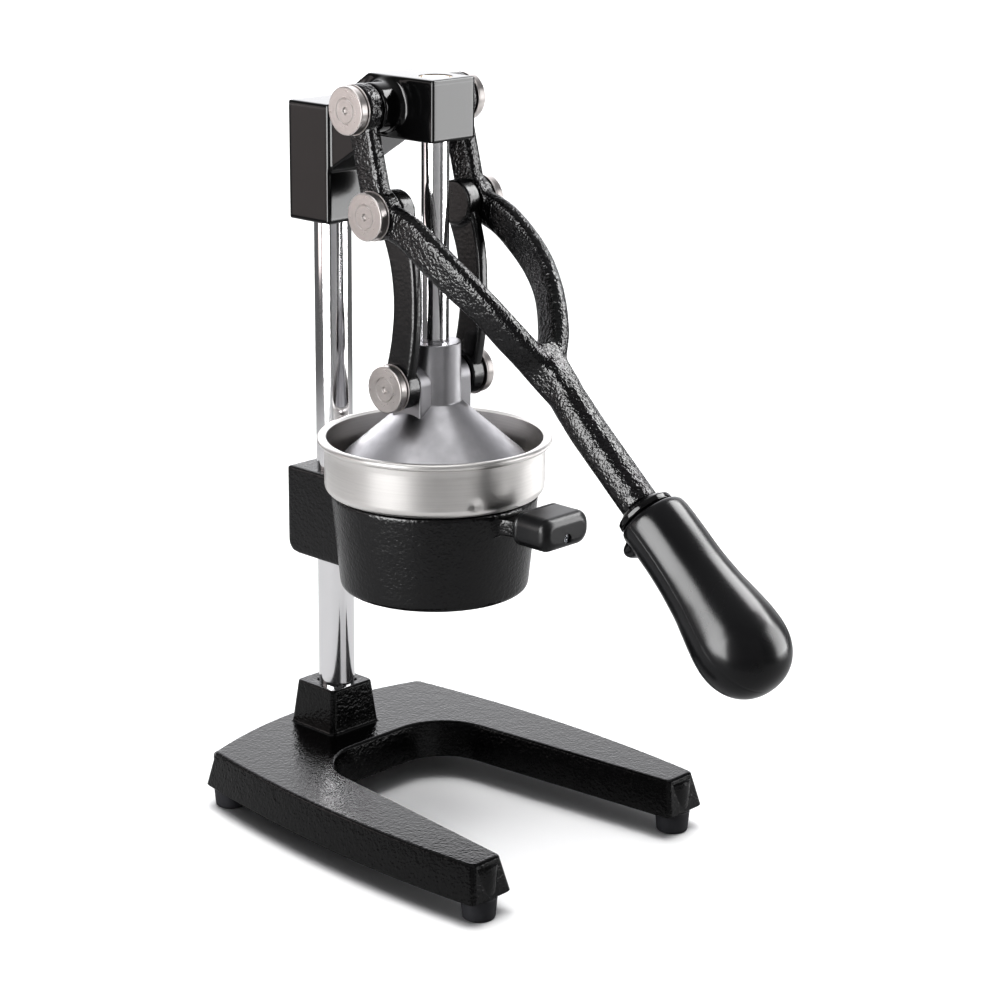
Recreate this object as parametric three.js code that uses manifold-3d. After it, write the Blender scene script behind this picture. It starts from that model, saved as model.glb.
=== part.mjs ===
// Manual citrus press: cast base, round column, head casting, wishbone handle with two links that
// drive a guided pressing cone down into a strainer cup. Millimetres, +Z up, handle towards -Y.
import * as THREE from "three";
import { mergeVertices } from "three/addons/utils/BufferGeometryUtils.js";
import Module from "manifold-3d";

const wasm = await Module();
wasm.setup();

// ---------------------------------------------------------------- driving dimensions
const GAP = 0.3; // clearance between pieces that touch
const ROUND = 24; // sides of a turned piece
const FINE = 36; // sides of a large one
const SMALL = 12; // sides of a pin, bore or screw

const BASE_TOP = 33.5;
const BASE_BOTTOM = 12.8;
const BASE_DRAFT = 4.7; // how far the walls lean out from top to bottom
const BASE_WALL = 5;
const BASE_DECK = 6; // thickness of the top over the hollow underside
const LEG_TIP_Y = -117.3;
const LEG_TIP_OUTER = 89.3;
const LEG_TIP_INNER = 68.5;
const REAR_CORNER = { x: 82, y: 96 };
const REAR_MIDDLE_Y = 110.5;
const SIDE_BULGE = 7.2;
const BAY_X = 16.5; // centre of the rounded corners of the bay between the legs
const BAY_Y = 12;
const BAY_RADIUS = 34.5;

const FOOT_TOP_RADIUS = 9.9;
const FOOT_BOTTOM_RADIUS = 8.8;
const FEET = {
  front_left: [-79, -112],
  front_right: [79, -112],
  rear_left: [-74, 92],
  rear_right: [74, 92],
};

const COLUMN_Y = 81;
const COLUMN_RADIUS = 10.5;
const COLUMN_BOTTOM = 20.3;
const COLUMN_TOP = 394;
const PEDESTAL_Y = 83;
const PEDESTAL_TOP = 59.6;
const PEDESTAL_TOP_HALF = 15.8;
const PEDESTAL_BOTTOM_HALF = 18.4;
const COLUMN_BORE = COLUMN_RADIUS + GAP;
const PEDESTAL_MOUTH = COLUMN_RADIUS + 1.8; // the bore opens out at the pedestal's top
const PEDESTAL_MOUTH_DEPTH = 8;

const ROD_RADIUS = 7.5;
const ROD_BOTTOM = 250.3;
const ROD_TOP = 420.7;
const BUSH_RADIUS = 9;
const BUSH_LENGTH = 12;

const HEAD_TOP = 421;
const HEAD_FLOOR = 388;
const HEAD_FRONT_Y = -14;
const HEAD_HALF = 16;
const HEAD_SLOPE_START_Y = 35.5;
const SOCKET_HALF = 18;
const SOCKET_FRONT_Y = 65;
const SOCKET_BACK_Y = 97;
const SOCKET_TOP = 401;
const SOCKET_BOTTOM = 335;
const GUSSET_Z = 366;
const GUSSET_TIP_Y = 27.5;

const HEAD_PIVOT = { y: 20.6, z: 404.8 };
const ELBOW = { y: 6.3, z: 350.5 };
const RAM_PIVOT = { y: 2.3, z: 256 };

// layers of the linkage, measured outwards from the middle plane
const LUG_INNER = 9.5;
const LUG_OUTER = 19.8;
const LINK_INNER = 20.2;
const LINK_OUTER = 29.8;
const YOKE_INNER = 30.2;
const YOKE_OUTER = 40.2;
const WASHER_THICKNESS = 0.9;
const DISC_THICKNESS = 4.8;
const DISC_RADIUS = 12.9;
const WASHER_RADIUS = 13.4;
const PIN_RADIUS = 5;
const SPIGOT_RADIUS = 3;
const SPIGOT_LENGTH = 9;
const EYE_RADIUS = 13.8;
const LINK_EYE_RADIUS = 12.3;
const LUG_RADIUS = 11;
const RAM_PIN_INNER = 12; // where the ram's pins end, short of the guide rod

const RAM_COLLAR_RADIUS = 14.4;
const RAM_COLLAR_TOP = 278;
const RAM_CONE_TOP = 244.9;
const RAM_SKIRT_RADIUS = 52;
const RAM_SKIRT_TOP = 213;
const RAM_SKIRT_BOTTOM = 196;

const CUP_RIM_TOP = 225.5;
const CUP_RIM_RADIUS = 65;
const CUP_WALL_RADIUS = 61;
const CUP_SHOULDER = 193.9;
const CUP_LOWER_RADIUS = 52.6;
const CUP_FLOOR = 186;
const SHEET = 1.2;

const BOWL_TOP = 193.4;
const BOWL_TOP_RADIUS = 57.6;
const BOWL_BOTTOM = 138.7;
const BOWL_BOTTOM_RADIUS = 52.5;
const BOWL_WALL = 4;
const OUTLET_RADIUS = 13;
const BRACKET_HALF = 17.5;
const BRACKET_BACK_Y = 102.5;
const BRACKET_TOP = 190.5;
const BRACKET_BOTTOM = 139;

const TANG = { half: 7, front: -84, bottom: 181.5, top: 191 }; // of the bowl, inside its grip
const BOWL_GRIP = { half: 18, back: -76, front: -99.5, bottom: 181.3, top: 199.6 };
const GRIP_SCREW_Z = 187;

const SET_SCREW_RADIUS = 4;
const SET_SCREW_HEIGHTS = { head_lower: 352, head_upper: 382, bowl: 165 };

const SHAFT_ANGLE = THREE.MathUtils.degToRad(41.5); // slope of the handle below level
const SHAFT_END = { y: -148.5, z: 216.3 };
const SHAFT_WIDTH = 20.2;
const SHAFT_THICKNESS = 19.7;
const ARM_ROUNDING = 0.45; // corner radius over thickness, where the casting is nearly round
const GRIP_LENGTH = 110.2;
const GRIP_RISE_START = 2.3;
const GRIP_RISE_END = 0.8;
const RING_LENGTH = 7;

// ---------------------------------------------------------------- materials
const finish = (color, roughness, metalness) => new THREE.MeshStandardMaterial({ color, roughness, metalness });
const hammered = () => finish(0x0d0d0e, 0.32, 0.1);
const glossBlack = () => finish(0x0b0b0c, 0.15, 0.05);
const satinBlack = () => finish(0x121213, 0.4, 0.05);
const rubber = () => finish(0x2a2a2c, 0.85, 0);
const chrome = () => finish(0xd9dadd, 0.08, 1);
const turnedSteel = () => finish(0xc9c6c2, 0.28, 1);
const brushedSteel = () => finish(0xbdbab6, 0.32, 1);
const aluminium = () => finish(0xb4b4b8, 0.36, 1);
const bronze = () => finish(0xa5793d, 0.4, 1);
const zinc = () => finish(0x9a9da2, 0.35, 1);

// ---------------------------------------------------------------- solids
function solidOf(geometry) {
  const bare = geometry.clone();
  bare.deleteAttribute("normal");
  bare.deleteAttribute("uv");
  const merged = mergeVertices(bare, 1e-4);
  const index = merged.index.array;
  const faces = [];
  for (let i = 0; i < index.length; i += 3) {
    const [a, b, c] = [index[i], index[i + 1], index[i + 2]];
    if (a !== b && b !== c && c !== a) faces.push(a, b, c);
  }
  const vertProperties = new Float32Array(merged.attributes.position.array);
  const triVerts = new Uint32Array(faces);
  return new wasm.Manifold(new wasm.Mesh({ numProp: 3, vertProperties, triVerts }));
}

function geometryOf(solid) {
  const mesh = solid.getMesh();
  const geometry = new THREE.BufferGeometry();
  geometry.setAttribute("position", new THREE.BufferAttribute(new Float32Array(mesh.vertProperties), 3));
  geometry.setIndex(new THREE.BufferAttribute(new Uint32Array(mesh.triVerts), 1));
  geometry.computeVertexNormals();
  return geometry;
}

const union = (solids) => solids.reduce((sum, solid) => sum.add(solid));
const less = (solid, cutters) => cutters.reduce((rest, cutter) => rest.subtract(cutter), solid);

// A body turned about Z from [radius, z] pairs.
function turned(profile, sides = ROUND) {
  const points = profile.map(([radius, z]) => new THREE.Vector2(radius, z));
  const geometry = new THREE.LatheGeometry(points, sides);
  geometry.rotateX(Math.PI / 2);
  const solid = solidOf(geometry);
  return solid.volume() < 0 ? solidOf(flipped(geometry)) : solid;
}

function flipped(geometry) {
  const turnedOver = geometry.clone();
  const index = turnedOver.index.array;
  for (let i = 0; i < index.length; i += 3) {
    const first = index[i];
    index[i] = index[i + 2];
    index[i + 2] = first;
  }
  return turnedOver;
}

const closed = (profile) => [...profile, profile[0]];

function box(x0, x1, y0, y1, z0, z1) {
  const geometry = new THREE.BoxGeometry(x1 - x0, y1 - y0, z1 - z0);
  geometry.translate((x0 + x1) / 2, (y0 + y1) / 2, (z0 + z1) / 2);
  return solidOf(geometry);
}

function cylinderZ(radius, x, y, z0, z1, sides = ROUND) {
  return turned([[0, z0], [radius, z0], [radius, z1], [0, z1]], sides).translate([x, y, 0]);
}

function cylinderX(radius, x0, x1, y, z, sides = ROUND) {
  const length = x1 - x0;
  return turned([[0, 0], [radius, 0], [radius, length], [0, length]], sides).rotate([0, 90, 0]).translate([x0, y, z]);
}

function cylinderY(radius, y0, y1, x, z, sides = SMALL) {
  const length = y1 - y0;
  return turned([[0, 0], [radius, 0], [radius, length], [0, length]], sides).rotate([-90, 0, 0]).translate([x, y0, z]);
}

// A body turned about an axis along X, from [radius, distance out] pairs, on the given side.
function turnedX(profile, side, pivot, sides = ROUND) {
  const solid = turned(profile, sides).rotate([0, side * 90, 0]);
  return solid.translate([0, pivot.y, pivot.z]);
}

// A closed body through rings of points: side walls and two flat ends.
function loft(rings, cap) {
  const count = rings[0].length;
  const positions = rings.flat().flatMap((p) => [p.x, p.y, p.z]);
  const faces = [];
  for (let r = 0; r + 1 < rings.length; r++) {
    for (let i = 0; i < count; i++) {
      const a = r * count + i;
      const b = r * count + ((i + 1) % count);
      faces.push(a, b, b + count, a, b + count, a + count);
    }
  }
  const last = (rings.length - 1) * count;
  for (const [a, b, c] of cap) {
    faces.push(c, b, a);
    faces.push(last + a, last + b, last + c);
  }
  const geometry = new THREE.BufferGeometry();
  geometry.setAttribute("position", new THREE.BufferAttribute(new Float32Array(positions), 3));
  geometry.setIndex(faces);
  const solid = solidOf(geometry);
  return solid.volume() < 0 ? solidOf(flipped(geometry)) : solid;
}

const fan = (count) => Array.from({ length: count - 2 }, (_, i) => [0, i + 1, i + 2]);

// Outline points of a flat shape, and how its ends close.
function outlineLoft(levels) {
  const rings = levels.map(({ points, z }) => points.map((p) => new THREE.Vector3(p.x, p.y, z)));
  return loft(rings, THREE.ShapeUtils.triangulateShape(levels[0].points, []));
}

// Rounds each corner of a polygon; every corner is {x, y, r}.
function roundedOutline(corners, steps = 5) {
  const points = [];
  corners.forEach((corner, i) => {
    const here = new THREE.Vector2(corner.x, corner.y);
    if (!corner.r) {
      points.push(here);
      return;
    }
    const before = corners[(i + corners.length - 1) % corners.length];
    const after = corners[(i + 1) % corners.length];
    const back = new THREE.Vector2(before.x, before.y).sub(here).normalize();
    const ahead = new THREE.Vector2(after.x, after.y).sub(here).normalize();
    const half = Math.acos(THREE.MathUtils.clamp(back.dot(ahead), -1, 1)) / 2;
    const reach = corner.r / Math.tan(half);
    const start = here.clone().addScaledVector(back, reach);
    const end = here.clone().addScaledVector(ahead, reach);
    const centre = here.clone().addScaledVector(back.clone().add(ahead).normalize(), corner.r / Math.sin(half));
    const from = start.clone().sub(centre).angle();
    let sweep = end.clone().sub(centre).angle() - from;
    if (sweep > Math.PI) sweep -= 2 * Math.PI;
    if (sweep < -Math.PI) sweep += 2 * Math.PI;
    for (let k = 0; k <= steps; k++) {
      const angle = from + (sweep * k) / steps;
      points.push(new THREE.Vector2(centre.x + corner.r * Math.cos(angle), centre.y + corner.r * Math.sin(angle)));
    }
  });
  return points;
}

// Moves each point of a counter-clockwise outline outwards by the given distance.
function grown(points, distance) {
  return points.map((point, i) => {
    const before = points[(i + points.length - 1) % points.length];
    const after = points[(i + 1) % points.length];
    const first = point.clone().sub(before).normalize();
    const second = after.clone().sub(point).normalize();
    const normal = new THREE.Vector2(first.y + second.y, -first.x - second.x).normalize();
    const stretch = 1 / Math.max(0.5, Math.cos(Math.acos(THREE.MathUtils.clamp(first.dot(second), -1, 1)) / 2));
    return point.clone().addScaledVector(normal, distance * stretch);
  });
}

// A bar with a rounded rectangular section along stations {x, y, z, wide, thick}. Width lies in the
// plane of the bar's own slope, thickness across it.
function bar(stations, corner = 0.32) {
  const centres = stations.map((s) => new THREE.Vector3(s.x, s.y, s.z));
  const rings = stations.map((station, i) => {
    const along = centres[Math.min(i + 1, centres.length - 1)].clone();
    along.sub(centres[Math.max(i - 1, 0)]).normalize();
    const across = new THREE.Vector3(1, 0, 0).addScaledVector(along, -along.x).normalize();
    const up = new THREE.Vector3().crossVectors(along, across).normalize();
    const radius = corner * Math.min(station.wide, station.thick);
    const halfWide = station.wide / 2;
    const halfThick = station.thick / 2;
    const section = roundedOutline([
      { x: -halfThick, y: -halfWide, r: radius },
      { x: halfThick, y: -halfWide, r: radius },
      { x: halfThick, y: halfWide, r: radius },
      { x: -halfThick, y: halfWide, r: radius },
    ], 2);
    return section.map((p) => centres[i].clone().addScaledVector(across, p.x).addScaledVector(up, p.y));
  });
  return loft(rings, fan(rings[0].length));
}

// Points along a smooth curve through [x, y, z, wide, thick] knots.
function stationsThrough(knots, count) {
  const places = new THREE.CatmullRomCurve3(knots.map(([x, y, z]) => new THREE.Vector3(x, y, z)));
  const sizes = new THREE.CatmullRomCurve3(knots.map((k) => new THREE.Vector3(k[3], k[4], 0)));
  return Array.from({ length: count + 1 }, (_, i) => {
    const place = places.getPoint(i / count);
    const size = sizes.getPoint(i / count);
    return { x: place.x, y: place.y, z: place.z, wide: size.x, thick: size.y };
  });
}

// ---------------------------------------------------------------- assembly
const press = new THREE.Group();

function add(name, solid, material) {
  const mesh = new THREE.Mesh(geometryOf(solid), material);
  mesh.name = name;
  press.add(mesh);
}

const SIDES = [["left", -1], ["right", 1]];

// A layer of the linkage as a range along X, from its distances to the middle plane.
const layer = (side, inner, outer) => (side < 0 ? [-outer, -inner] : [inner, outer]);

// ---------------------------------------------------------------- base, feet and column
function baseOutline() {
  const corners = [];
  const steps = 6;
  for (let i = 0; i <= steps; i++) { // right side, from the leg tip to the rear corner
    const t = i / steps;
    const x = THREE.MathUtils.lerp(LEG_TIP_OUTER, REAR_CORNER.x, t) + SIDE_BULGE * 4 * t * (1 - t);
    const y = THREE.MathUtils.lerp(LEG_TIP_Y, REAR_CORNER.y, t);
    corners.push({ x, y, r: i === 0 || i === steps ? 6 : 0 });
  }
  for (let i = 1; i < steps; i++) { // rear edge, from right to left
    const x = THREE.MathUtils.lerp(REAR_CORNER.x, -REAR_CORNER.x, i / steps);
    const y = REAR_MIDDLE_Y - (REAR_MIDDLE_Y - REAR_CORNER.y) * (x / REAR_CORNER.x) ** 2;
    corners.push({ x, y, r: 0 });
  }
  for (let i = steps; i >= 0; i--) { // left side mirrors the right
    const twin = corners[i];
    corners.push({ x: -twin.x, y: twin.y, r: twin.r });
  }
  const bayRear = BAY_Y + BAY_RADIUS;
  const bayCorner = BAY_X + BAY_RADIUS;
  corners.push({ x: -LEG_TIP_INNER, y: LEG_TIP_Y, r: 6 });
  corners.push({ x: -bayCorner, y: bayRear, r: BAY_RADIUS });
  corners.push({ x: bayCorner, y: bayRear, r: BAY_RADIUS });
  corners.push({ x: LEG_TIP_INNER, y: LEG_TIP_Y, r: 6 });
  return roundedOutline(corners, 4);
}

function baseCasting() {
  const outline = baseOutline();
  const shell = outlineLoft([
    { points: grown(outline, BASE_DRAFT), z: BASE_BOTTOM },
    { points: grown(outline, 0.5), z: BASE_TOP - 2 },
    { points: grown(outline, -0.6), z: BASE_TOP - 0.5 },
    { points: grown(outline, -1.8), z: BASE_TOP },
  ]);
  const hollow = outlineLoft([
    { points: grown(outline, BASE_DRAFT - BASE_WALL), z: BASE_BOTTOM - 1 },
    { points: grown(outline, -BASE_WALL), z: BASE_TOP - BASE_DECK },
  ]);
  const keep = Object.values(FEET).map(([x, y]) => cylinderZ(FOOT_TOP_RADIUS, x, y, 0, BASE_TOP, 20));
  keep.push(box(-24, 24, 50, 112, 0, BASE_TOP)); // block under the pedestal
  for (const x of [-50, 50]) keep.push(box(x - 2, x + 2, 20, 112, 0, BASE_TOP)); // ribs
  for (const y of [-60, -10, 40]) keep.push(box(-110, 110, y - 2, y + 2, 0, BASE_TOP));
  const pedestalSquare = (half) => roundedOutline([
    { x: half, y: PEDESTAL_Y - half, r: 3 },
    { x: half, y: PEDESTAL_Y + half, r: 3 },
    { x: -half, y: PEDESTAL_Y + half, r: 3 },
    { x: -half, y: PEDESTAL_Y - half, r: 3 },
  ]);
  const pedestal = outlineLoft([
    { points: pedestalSquare(PEDESTAL_BOTTOM_HALF), z: BASE_TOP - 3 },
    { points: pedestalSquare(PEDESTAL_TOP_HALF), z: PEDESTAL_TOP },
  ]);
  const cuts = [
    cylinderZ(COLUMN_BORE, 0, COLUMN_Y, COLUMN_BOTTOM - GAP, PEDESTAL_TOP + 1),
    cylinderZ(PEDESTAL_MOUTH, 0, COLUMN_Y, PEDESTAL_TOP - PEDESTAL_MOUTH_DEPTH, PEDESTAL_TOP + 1),
    cylinderZ(PIN_RADIUS + GAP, 0, COLUMN_Y, 0, COLUMN_BOTTOM),
    cylinderZ(14, 0, COLUMN_Y, 0, 17),
  ];
  for (const [x, y] of Object.values(FEET)) cuts.push(cylinderZ(2.4, x, y, 0, 25, 16));
  return less(union([less(shell, [less(hollow, keep)]), pedestal]), cuts);
}

function foot() {
  const top = BASE_BOTTOM - GAP;
  return turned([
    [2.3, 6],
    [5, 6],
    [5, 0],
    [FOOT_BOTTOM_RADIUS - 1.2, 0],
    [FOOT_BOTTOM_RADIUS, 1.2],
    [FOOT_TOP_RADIUS, top],
    [2.3, top],
    [2.3, 6],
  ], 20);
}

function footScrew() {
  const head = 3.2;
  return turned([[0, head], [3.2, head], [4.2, 4.4], [4.2, 5.7], [2, 5.7], [2, 24], [0, 24]], SMALL);
}

add("base_casting", baseCasting(), hammered());
for (const [place, [x, y]] of Object.entries(FEET)) {
  add(`foot_${place}`, foot().translate([x, y, 0]), rubber());
  add(`foot_screw_${place}`, footScrew().translate([x, y, 0]), zinc());
}
add("column", less(turned([
  [0, COLUMN_BOTTOM],
  [COLUMN_RADIUS - 1, COLUMN_BOTTOM],
  [COLUMN_RADIUS, COLUMN_BOTTOM + 1],
  [COLUMN_RADIUS, COLUMN_TOP - 1],
  [COLUMN_RADIUS - 1, COLUMN_TOP],
  [0, COLUMN_TOP],
]), [cylinderZ(PIN_RADIUS + GAP, 0, 0, 0, 50, SMALL)]).translate([0, COLUMN_Y, 0]), chrome());
add("column_washer", turned(closed([[5.4, 14.9], [12, 14.9], [12, 16.7], [5.4, 16.7]]), SMALL)
  .translate([0, COLUMN_Y, 0]), zinc());
add("column_bolt", union([
  cylinderZ(8.6, 0, COLUMN_Y, 8, 14.6, 6),
  cylinderZ(PIN_RADIUS, 0, COLUMN_Y, 14, 45, SMALL),
]), zinc());

// ---------------------------------------------------------------- head
// A plate in the side plane, from [y, z] corners, between two distances along X.
function sidePlate(corners, x0, x1) {
  const shape = new THREE.Shape(corners.map(([y, z]) => new THREE.Vector2(y, z)));
  const geometry = new THREE.ExtrudeGeometry(shape, { depth: x1 - x0, bevelEnabled: false, curveSegments: 6 });
  geometry.applyMatrix4(new THREE.Matrix4().makeBasis(
    new THREE.Vector3(0, 1, 0),
    new THREE.Vector3(0, 0, 1),
    new THREE.Vector3(1, 0, 0),
  ));
  geometry.translate(x0, 0, 0);
  return solidOf(geometry);
}

const setScrewHole = (backY, z) => cylinderY(SET_SCREW_RADIUS + GAP, COLUMN_Y, backY + 1, 0, z);

function headCasting() {
  const beam = sidePlate([
    [HEAD_FRONT_Y, HEAD_FLOOR],
    [GUSSET_TIP_Y, HEAD_FLOOR],
    [SOCKET_FRONT_Y + 1, GUSSET_Z - 0.5],
    [SOCKET_FRONT_Y + 1, SOCKET_TOP - 0.5],
    [HEAD_SLOPE_START_Y, HEAD_TOP],
    [HEAD_FRONT_Y, HEAD_TOP],
  ], -HEAD_HALF, HEAD_HALF);
  const socket = box(-SOCKET_HALF, SOCKET_HALF, SOCKET_FRONT_Y, SOCKET_BACK_Y, SOCKET_BOTTOM, SOCKET_TOP);
  const bosses = SIDES.map(([, side]) => turnedX([
    [0, 0],
    [EYE_RADIUS + 2, 0],
    [EYE_RADIUS + 2, HEAD_HALF + 0.8],
    [EYE_RADIUS, HEAD_HALF + 3.5],
    [EYE_RADIUS - 0.4, YOKE_INNER - GAP],
    [0, YOKE_INNER - GAP],
  ], side, HEAD_PIVOT));
  const cuts = [
    cylinderZ(COLUMN_BORE, 0, COLUMN_Y, SOCKET_BOTTOM - 1, COLUMN_TOP + GAP),
    cylinderZ(BUSH_RADIUS + GAP, 0, 0, HEAD_FLOOR - 1, HEAD_TOP + 1),
    cylinderX(PIN_RADIUS + GAP, -YOKE_INNER, YOKE_INNER, HEAD_PIVOT.y, HEAD_PIVOT.z, SMALL),
    setScrewHole(SOCKET_BACK_Y, SET_SCREW_HEIGHTS.head_lower),
    setScrewHole(SOCKET_BACK_Y, SET_SCREW_HEIGHTS.head_upper),
  ];
  return less(union([beam, socket, ...bosses]), cuts);
}

// A headless screw that bears on the column, its hexagon socket towards the back.
function setScrew(backY, z) {
  const front = COLUMN_Y + COLUMN_BORE + GAP;
  const body = cylinderY(SET_SCREW_RADIUS, front, backY - GAP, 0, z);
  const socket = cylinderY(SET_SCREW_RADIUS * 0.58, backY - 3.4, backY + 1, 0, z, 6);
  return less(body, [socket]);
}

add("head_casting", headCasting(), glossBlack());
add("head_set_screw_lower", setScrew(SOCKET_BACK_Y, SET_SCREW_HEIGHTS.head_lower), zinc());
add("head_set_screw_upper", setScrew(SOCKET_BACK_Y, SET_SCREW_HEIGHTS.head_upper), zinc());

function bush(bottom) {
  const inner = ROD_RADIUS + GAP;
  const top = bottom + BUSH_LENGTH;
  return turned(closed([[inner, bottom], [BUSH_RADIUS, bottom], [BUSH_RADIUS, top], [inner, top]]));
}

add("rod_bush_lower", bush(HEAD_FLOOR + GAP), bronze());
add("rod_bush_upper", bush(HEAD_TOP - GAP - BUSH_LENGTH), bronze());

// ---------------------------------------------------------------- pivots
// A turned cap with a threaded spigot on its back.
function pivotDisc(inner, side, pivot) {
  const outer = inner + DISC_THICKNESS;
  return turnedX([
    [0, inner - SPIGOT_LENGTH],
    [SPIGOT_RADIUS, inner - SPIGOT_LENGTH],
    [SPIGOT_RADIUS, inner],
    [DISC_RADIUS, inner],
    [DISC_RADIUS, outer - 0.8],
    [DISC_RADIUS - 0.8, outer],
    [1.6, outer],
    [0, outer - 1],
  ], side, pivot, 22);
}

function pivotWasher(inner, side, pivot) {
  const outer = inner + WASHER_THICKNESS;
  const hole = PIN_RADIUS + GAP;
  return turnedX(closed([[hole, inner], [WASHER_RADIUS, inner], [WASHER_RADIUS, outer], [hole, outer]]), side, pivot, 22);
}

// A pin with a threaded hole for the spigot in its outer end.
function pivotPin(inner, outer, side, pivot) {
  const hole = SPIGOT_RADIUS + GAP;
  const depth = outer - SPIGOT_LENGTH - 1;
  return turnedX([
    [0, inner],
    [PIN_RADIUS, inner],
    [PIN_RADIUS, outer],
    [hole, outer],
    [hole, depth],
    [0, depth],
  ], side, pivot, SMALL);
}

const YOKE_WASHER = YOKE_OUTER + GAP;
const YOKE_DISC = YOKE_WASHER + WASHER_THICKNESS + GAP;
const LINK_WASHER = LINK_OUTER + GAP;
const LINK_DISC = LINK_WASHER + WASHER_THICKNESS + GAP;

const headShaft = less(
  cylinderX(PIN_RADIUS, -(YOKE_DISC - GAP), YOKE_DISC - GAP, HEAD_PIVOT.y, HEAD_PIVOT.z, SMALL),
  SIDES.map(([, side]) => turnedX([
    [0, YOKE_DISC - SPIGOT_LENGTH - 1],
    [SPIGOT_RADIUS + GAP, YOKE_DISC - SPIGOT_LENGTH - 1],
    [SPIGOT_RADIUS + GAP, YOKE_DISC + 1],
    [0, YOKE_DISC + 1],
  ], side, HEAD_PIVOT, SMALL)),
);
add("head_pivot_shaft", headShaft, zinc());
for (const [name, side] of SIDES) {
  add(`head_pivot_washer_${name}`, pivotWasher(YOKE_WASHER, side, HEAD_PIVOT), turnedSteel());
  add(`head_pivot_disc_${name}`, pivotDisc(YOKE_DISC, side, HEAD_PIVOT), turnedSteel());
  add(`elbow_pin_${name}`, pivotPin(YOKE_INNER, YOKE_DISC - GAP, side, ELBOW), zinc());
  add(`elbow_washer_${name}`, pivotWasher(YOKE_WASHER, side, ELBOW), turnedSteel());
  add(`elbow_disc_${name}`, pivotDisc(YOKE_DISC, side, ELBOW), turnedSteel());
  add(`ram_pin_${name}`, pivotPin(RAM_PIN_INNER, LINK_DISC - GAP, side, RAM_PIVOT), zinc());
  add(`ram_washer_${name}`, pivotWasher(LINK_WASHER, side, RAM_PIVOT), turnedSteel());
  add(`ram_disc_${name}`, pivotDisc(LINK_DISC, side, RAM_PIVOT), turnedSteel());
}

// ---------------------------------------------------------------- handle
const shaftPoint = (distance) => ({
  y: SHAFT_END.y - Math.cos(SHAFT_ANGLE) * distance,
  z: SHAFT_END.z - Math.sin(SHAFT_ANGLE) * distance,
});

function handleYoke() {
  const mid = (YOKE_INNER + YOKE_OUTER) / 2;
  const pieces = [];
  const bores = [];
  for (const [, side] of SIDES) {
    const [from, to] = layer(side, YOKE_INNER, YOKE_OUTER);
    for (const pivot of [HEAD_PIVOT, ELBOW]) {
      pieces.push(cylinderX(EYE_RADIUS - 0.3, from, to, pivot.y, pivot.z));
      bores.push(cylinderX(PIN_RADIUS + GAP, from - 1, to + 1, pivot.y, pivot.z, SMALL));
    }
    pieces.push(bar([
      { x: side * mid, y: HEAD_PIVOT.y, z: HEAD_PIVOT.z, wide: 17, thick: 9.6 },
      { x: side * mid, y: ELBOW.y, z: ELBOW.z, wide: 17, thick: 9.6 },
    ]));
    pieces.push(bar(stationsThrough([
      [side * mid, ELBOW.y, ELBOW.z, 19, 9.6],
      [side * 35.2, -14.8, 343.7, 20, 9.4],
      [side * 34.8, -29.5, 334.7, 20.5, 9.4],
      [side * 31.8, -45.8, 322.7, 20.3, 9.6],
      [side * 25.2, -60.5, 309.2, 19.5, 10.2],
      [side * 15.6, -72.7, 292.5, 20, 10.8],
      [side * 5, -81.5, 277.6, 20.8, 10.8],
      [side * 3.4, -96, 265.2, 18, 9],
      [side * 2, -108, 253.8, 14, 7],
    ], 14), ARM_ROUNDING));
  }
  pieces.push(bar([
    { x: 0, y: -76, z: 287.5, wide: 15, thick: 14 },
    { x: 0, y: -82, z: 280, wide: 17.5, thick: 15 },
    { x: 0, y: -91, z: 269.5, wide: 18.5, thick: 16 },
  ])); // web in the fork
  const neck = shaftPoint(-50);
  pieces.push(bar([
    { x: 0, y: -86, z: 274.5, wide: SHAFT_WIDTH, thick: SHAFT_THICKNESS },
    { x: 0, y: neck.y, z: neck.z, wide: SHAFT_WIDTH, thick: SHAFT_THICKNESS },
    { x: 0, y: SHAFT_END.y, z: SHAFT_END.z, wide: SHAFT_WIDTH, thick: SHAFT_THICKNESS },
  ], ARM_ROUNDING));
  const socket = alongShaft(turned([[0, -25], [5.3, -25], [5.3, 1], [0, 1]], SMALL), 0);
  return less(union(pieces), [...bores, socket]);
}

// Lays a body turned about Z along the handle's shaft, its start at the given distance.
function alongShaft(solid, distance) {
  const place = shaftPoint(distance);
  const tilt = 90 + THREE.MathUtils.radToDeg(SHAFT_ANGLE);
  return solid.rotate([tilt, 0, 0]).translate([0, place.y, place.z]);
}

add("handle_yoke", handleYoke(), hammered());
add("handle_stud", alongShaft(turned([[0, -24], [5, -24], [5, 68], [0, 68]], SMALL), 0), zinc());
add("handle_ring", alongShaft(turned(closed([
  [5.3, GAP],
  [13.6, GAP],
  [15.2, 1.8],
  [15.6, RING_LENGTH - 0.6],
  [5.3, RING_LENGTH - 0.6],
])), 0), glossBlack());

// How far the grip's middle lies above the shaft's axis, at a distance from the grip's start.
function gripRise(distance) {
  const share = THREE.MathUtils.smoothstep(distance, 20, 84);
  return THREE.MathUtils.lerp(GRIP_RISE_START, GRIP_RISE_END, share);
}

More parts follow.
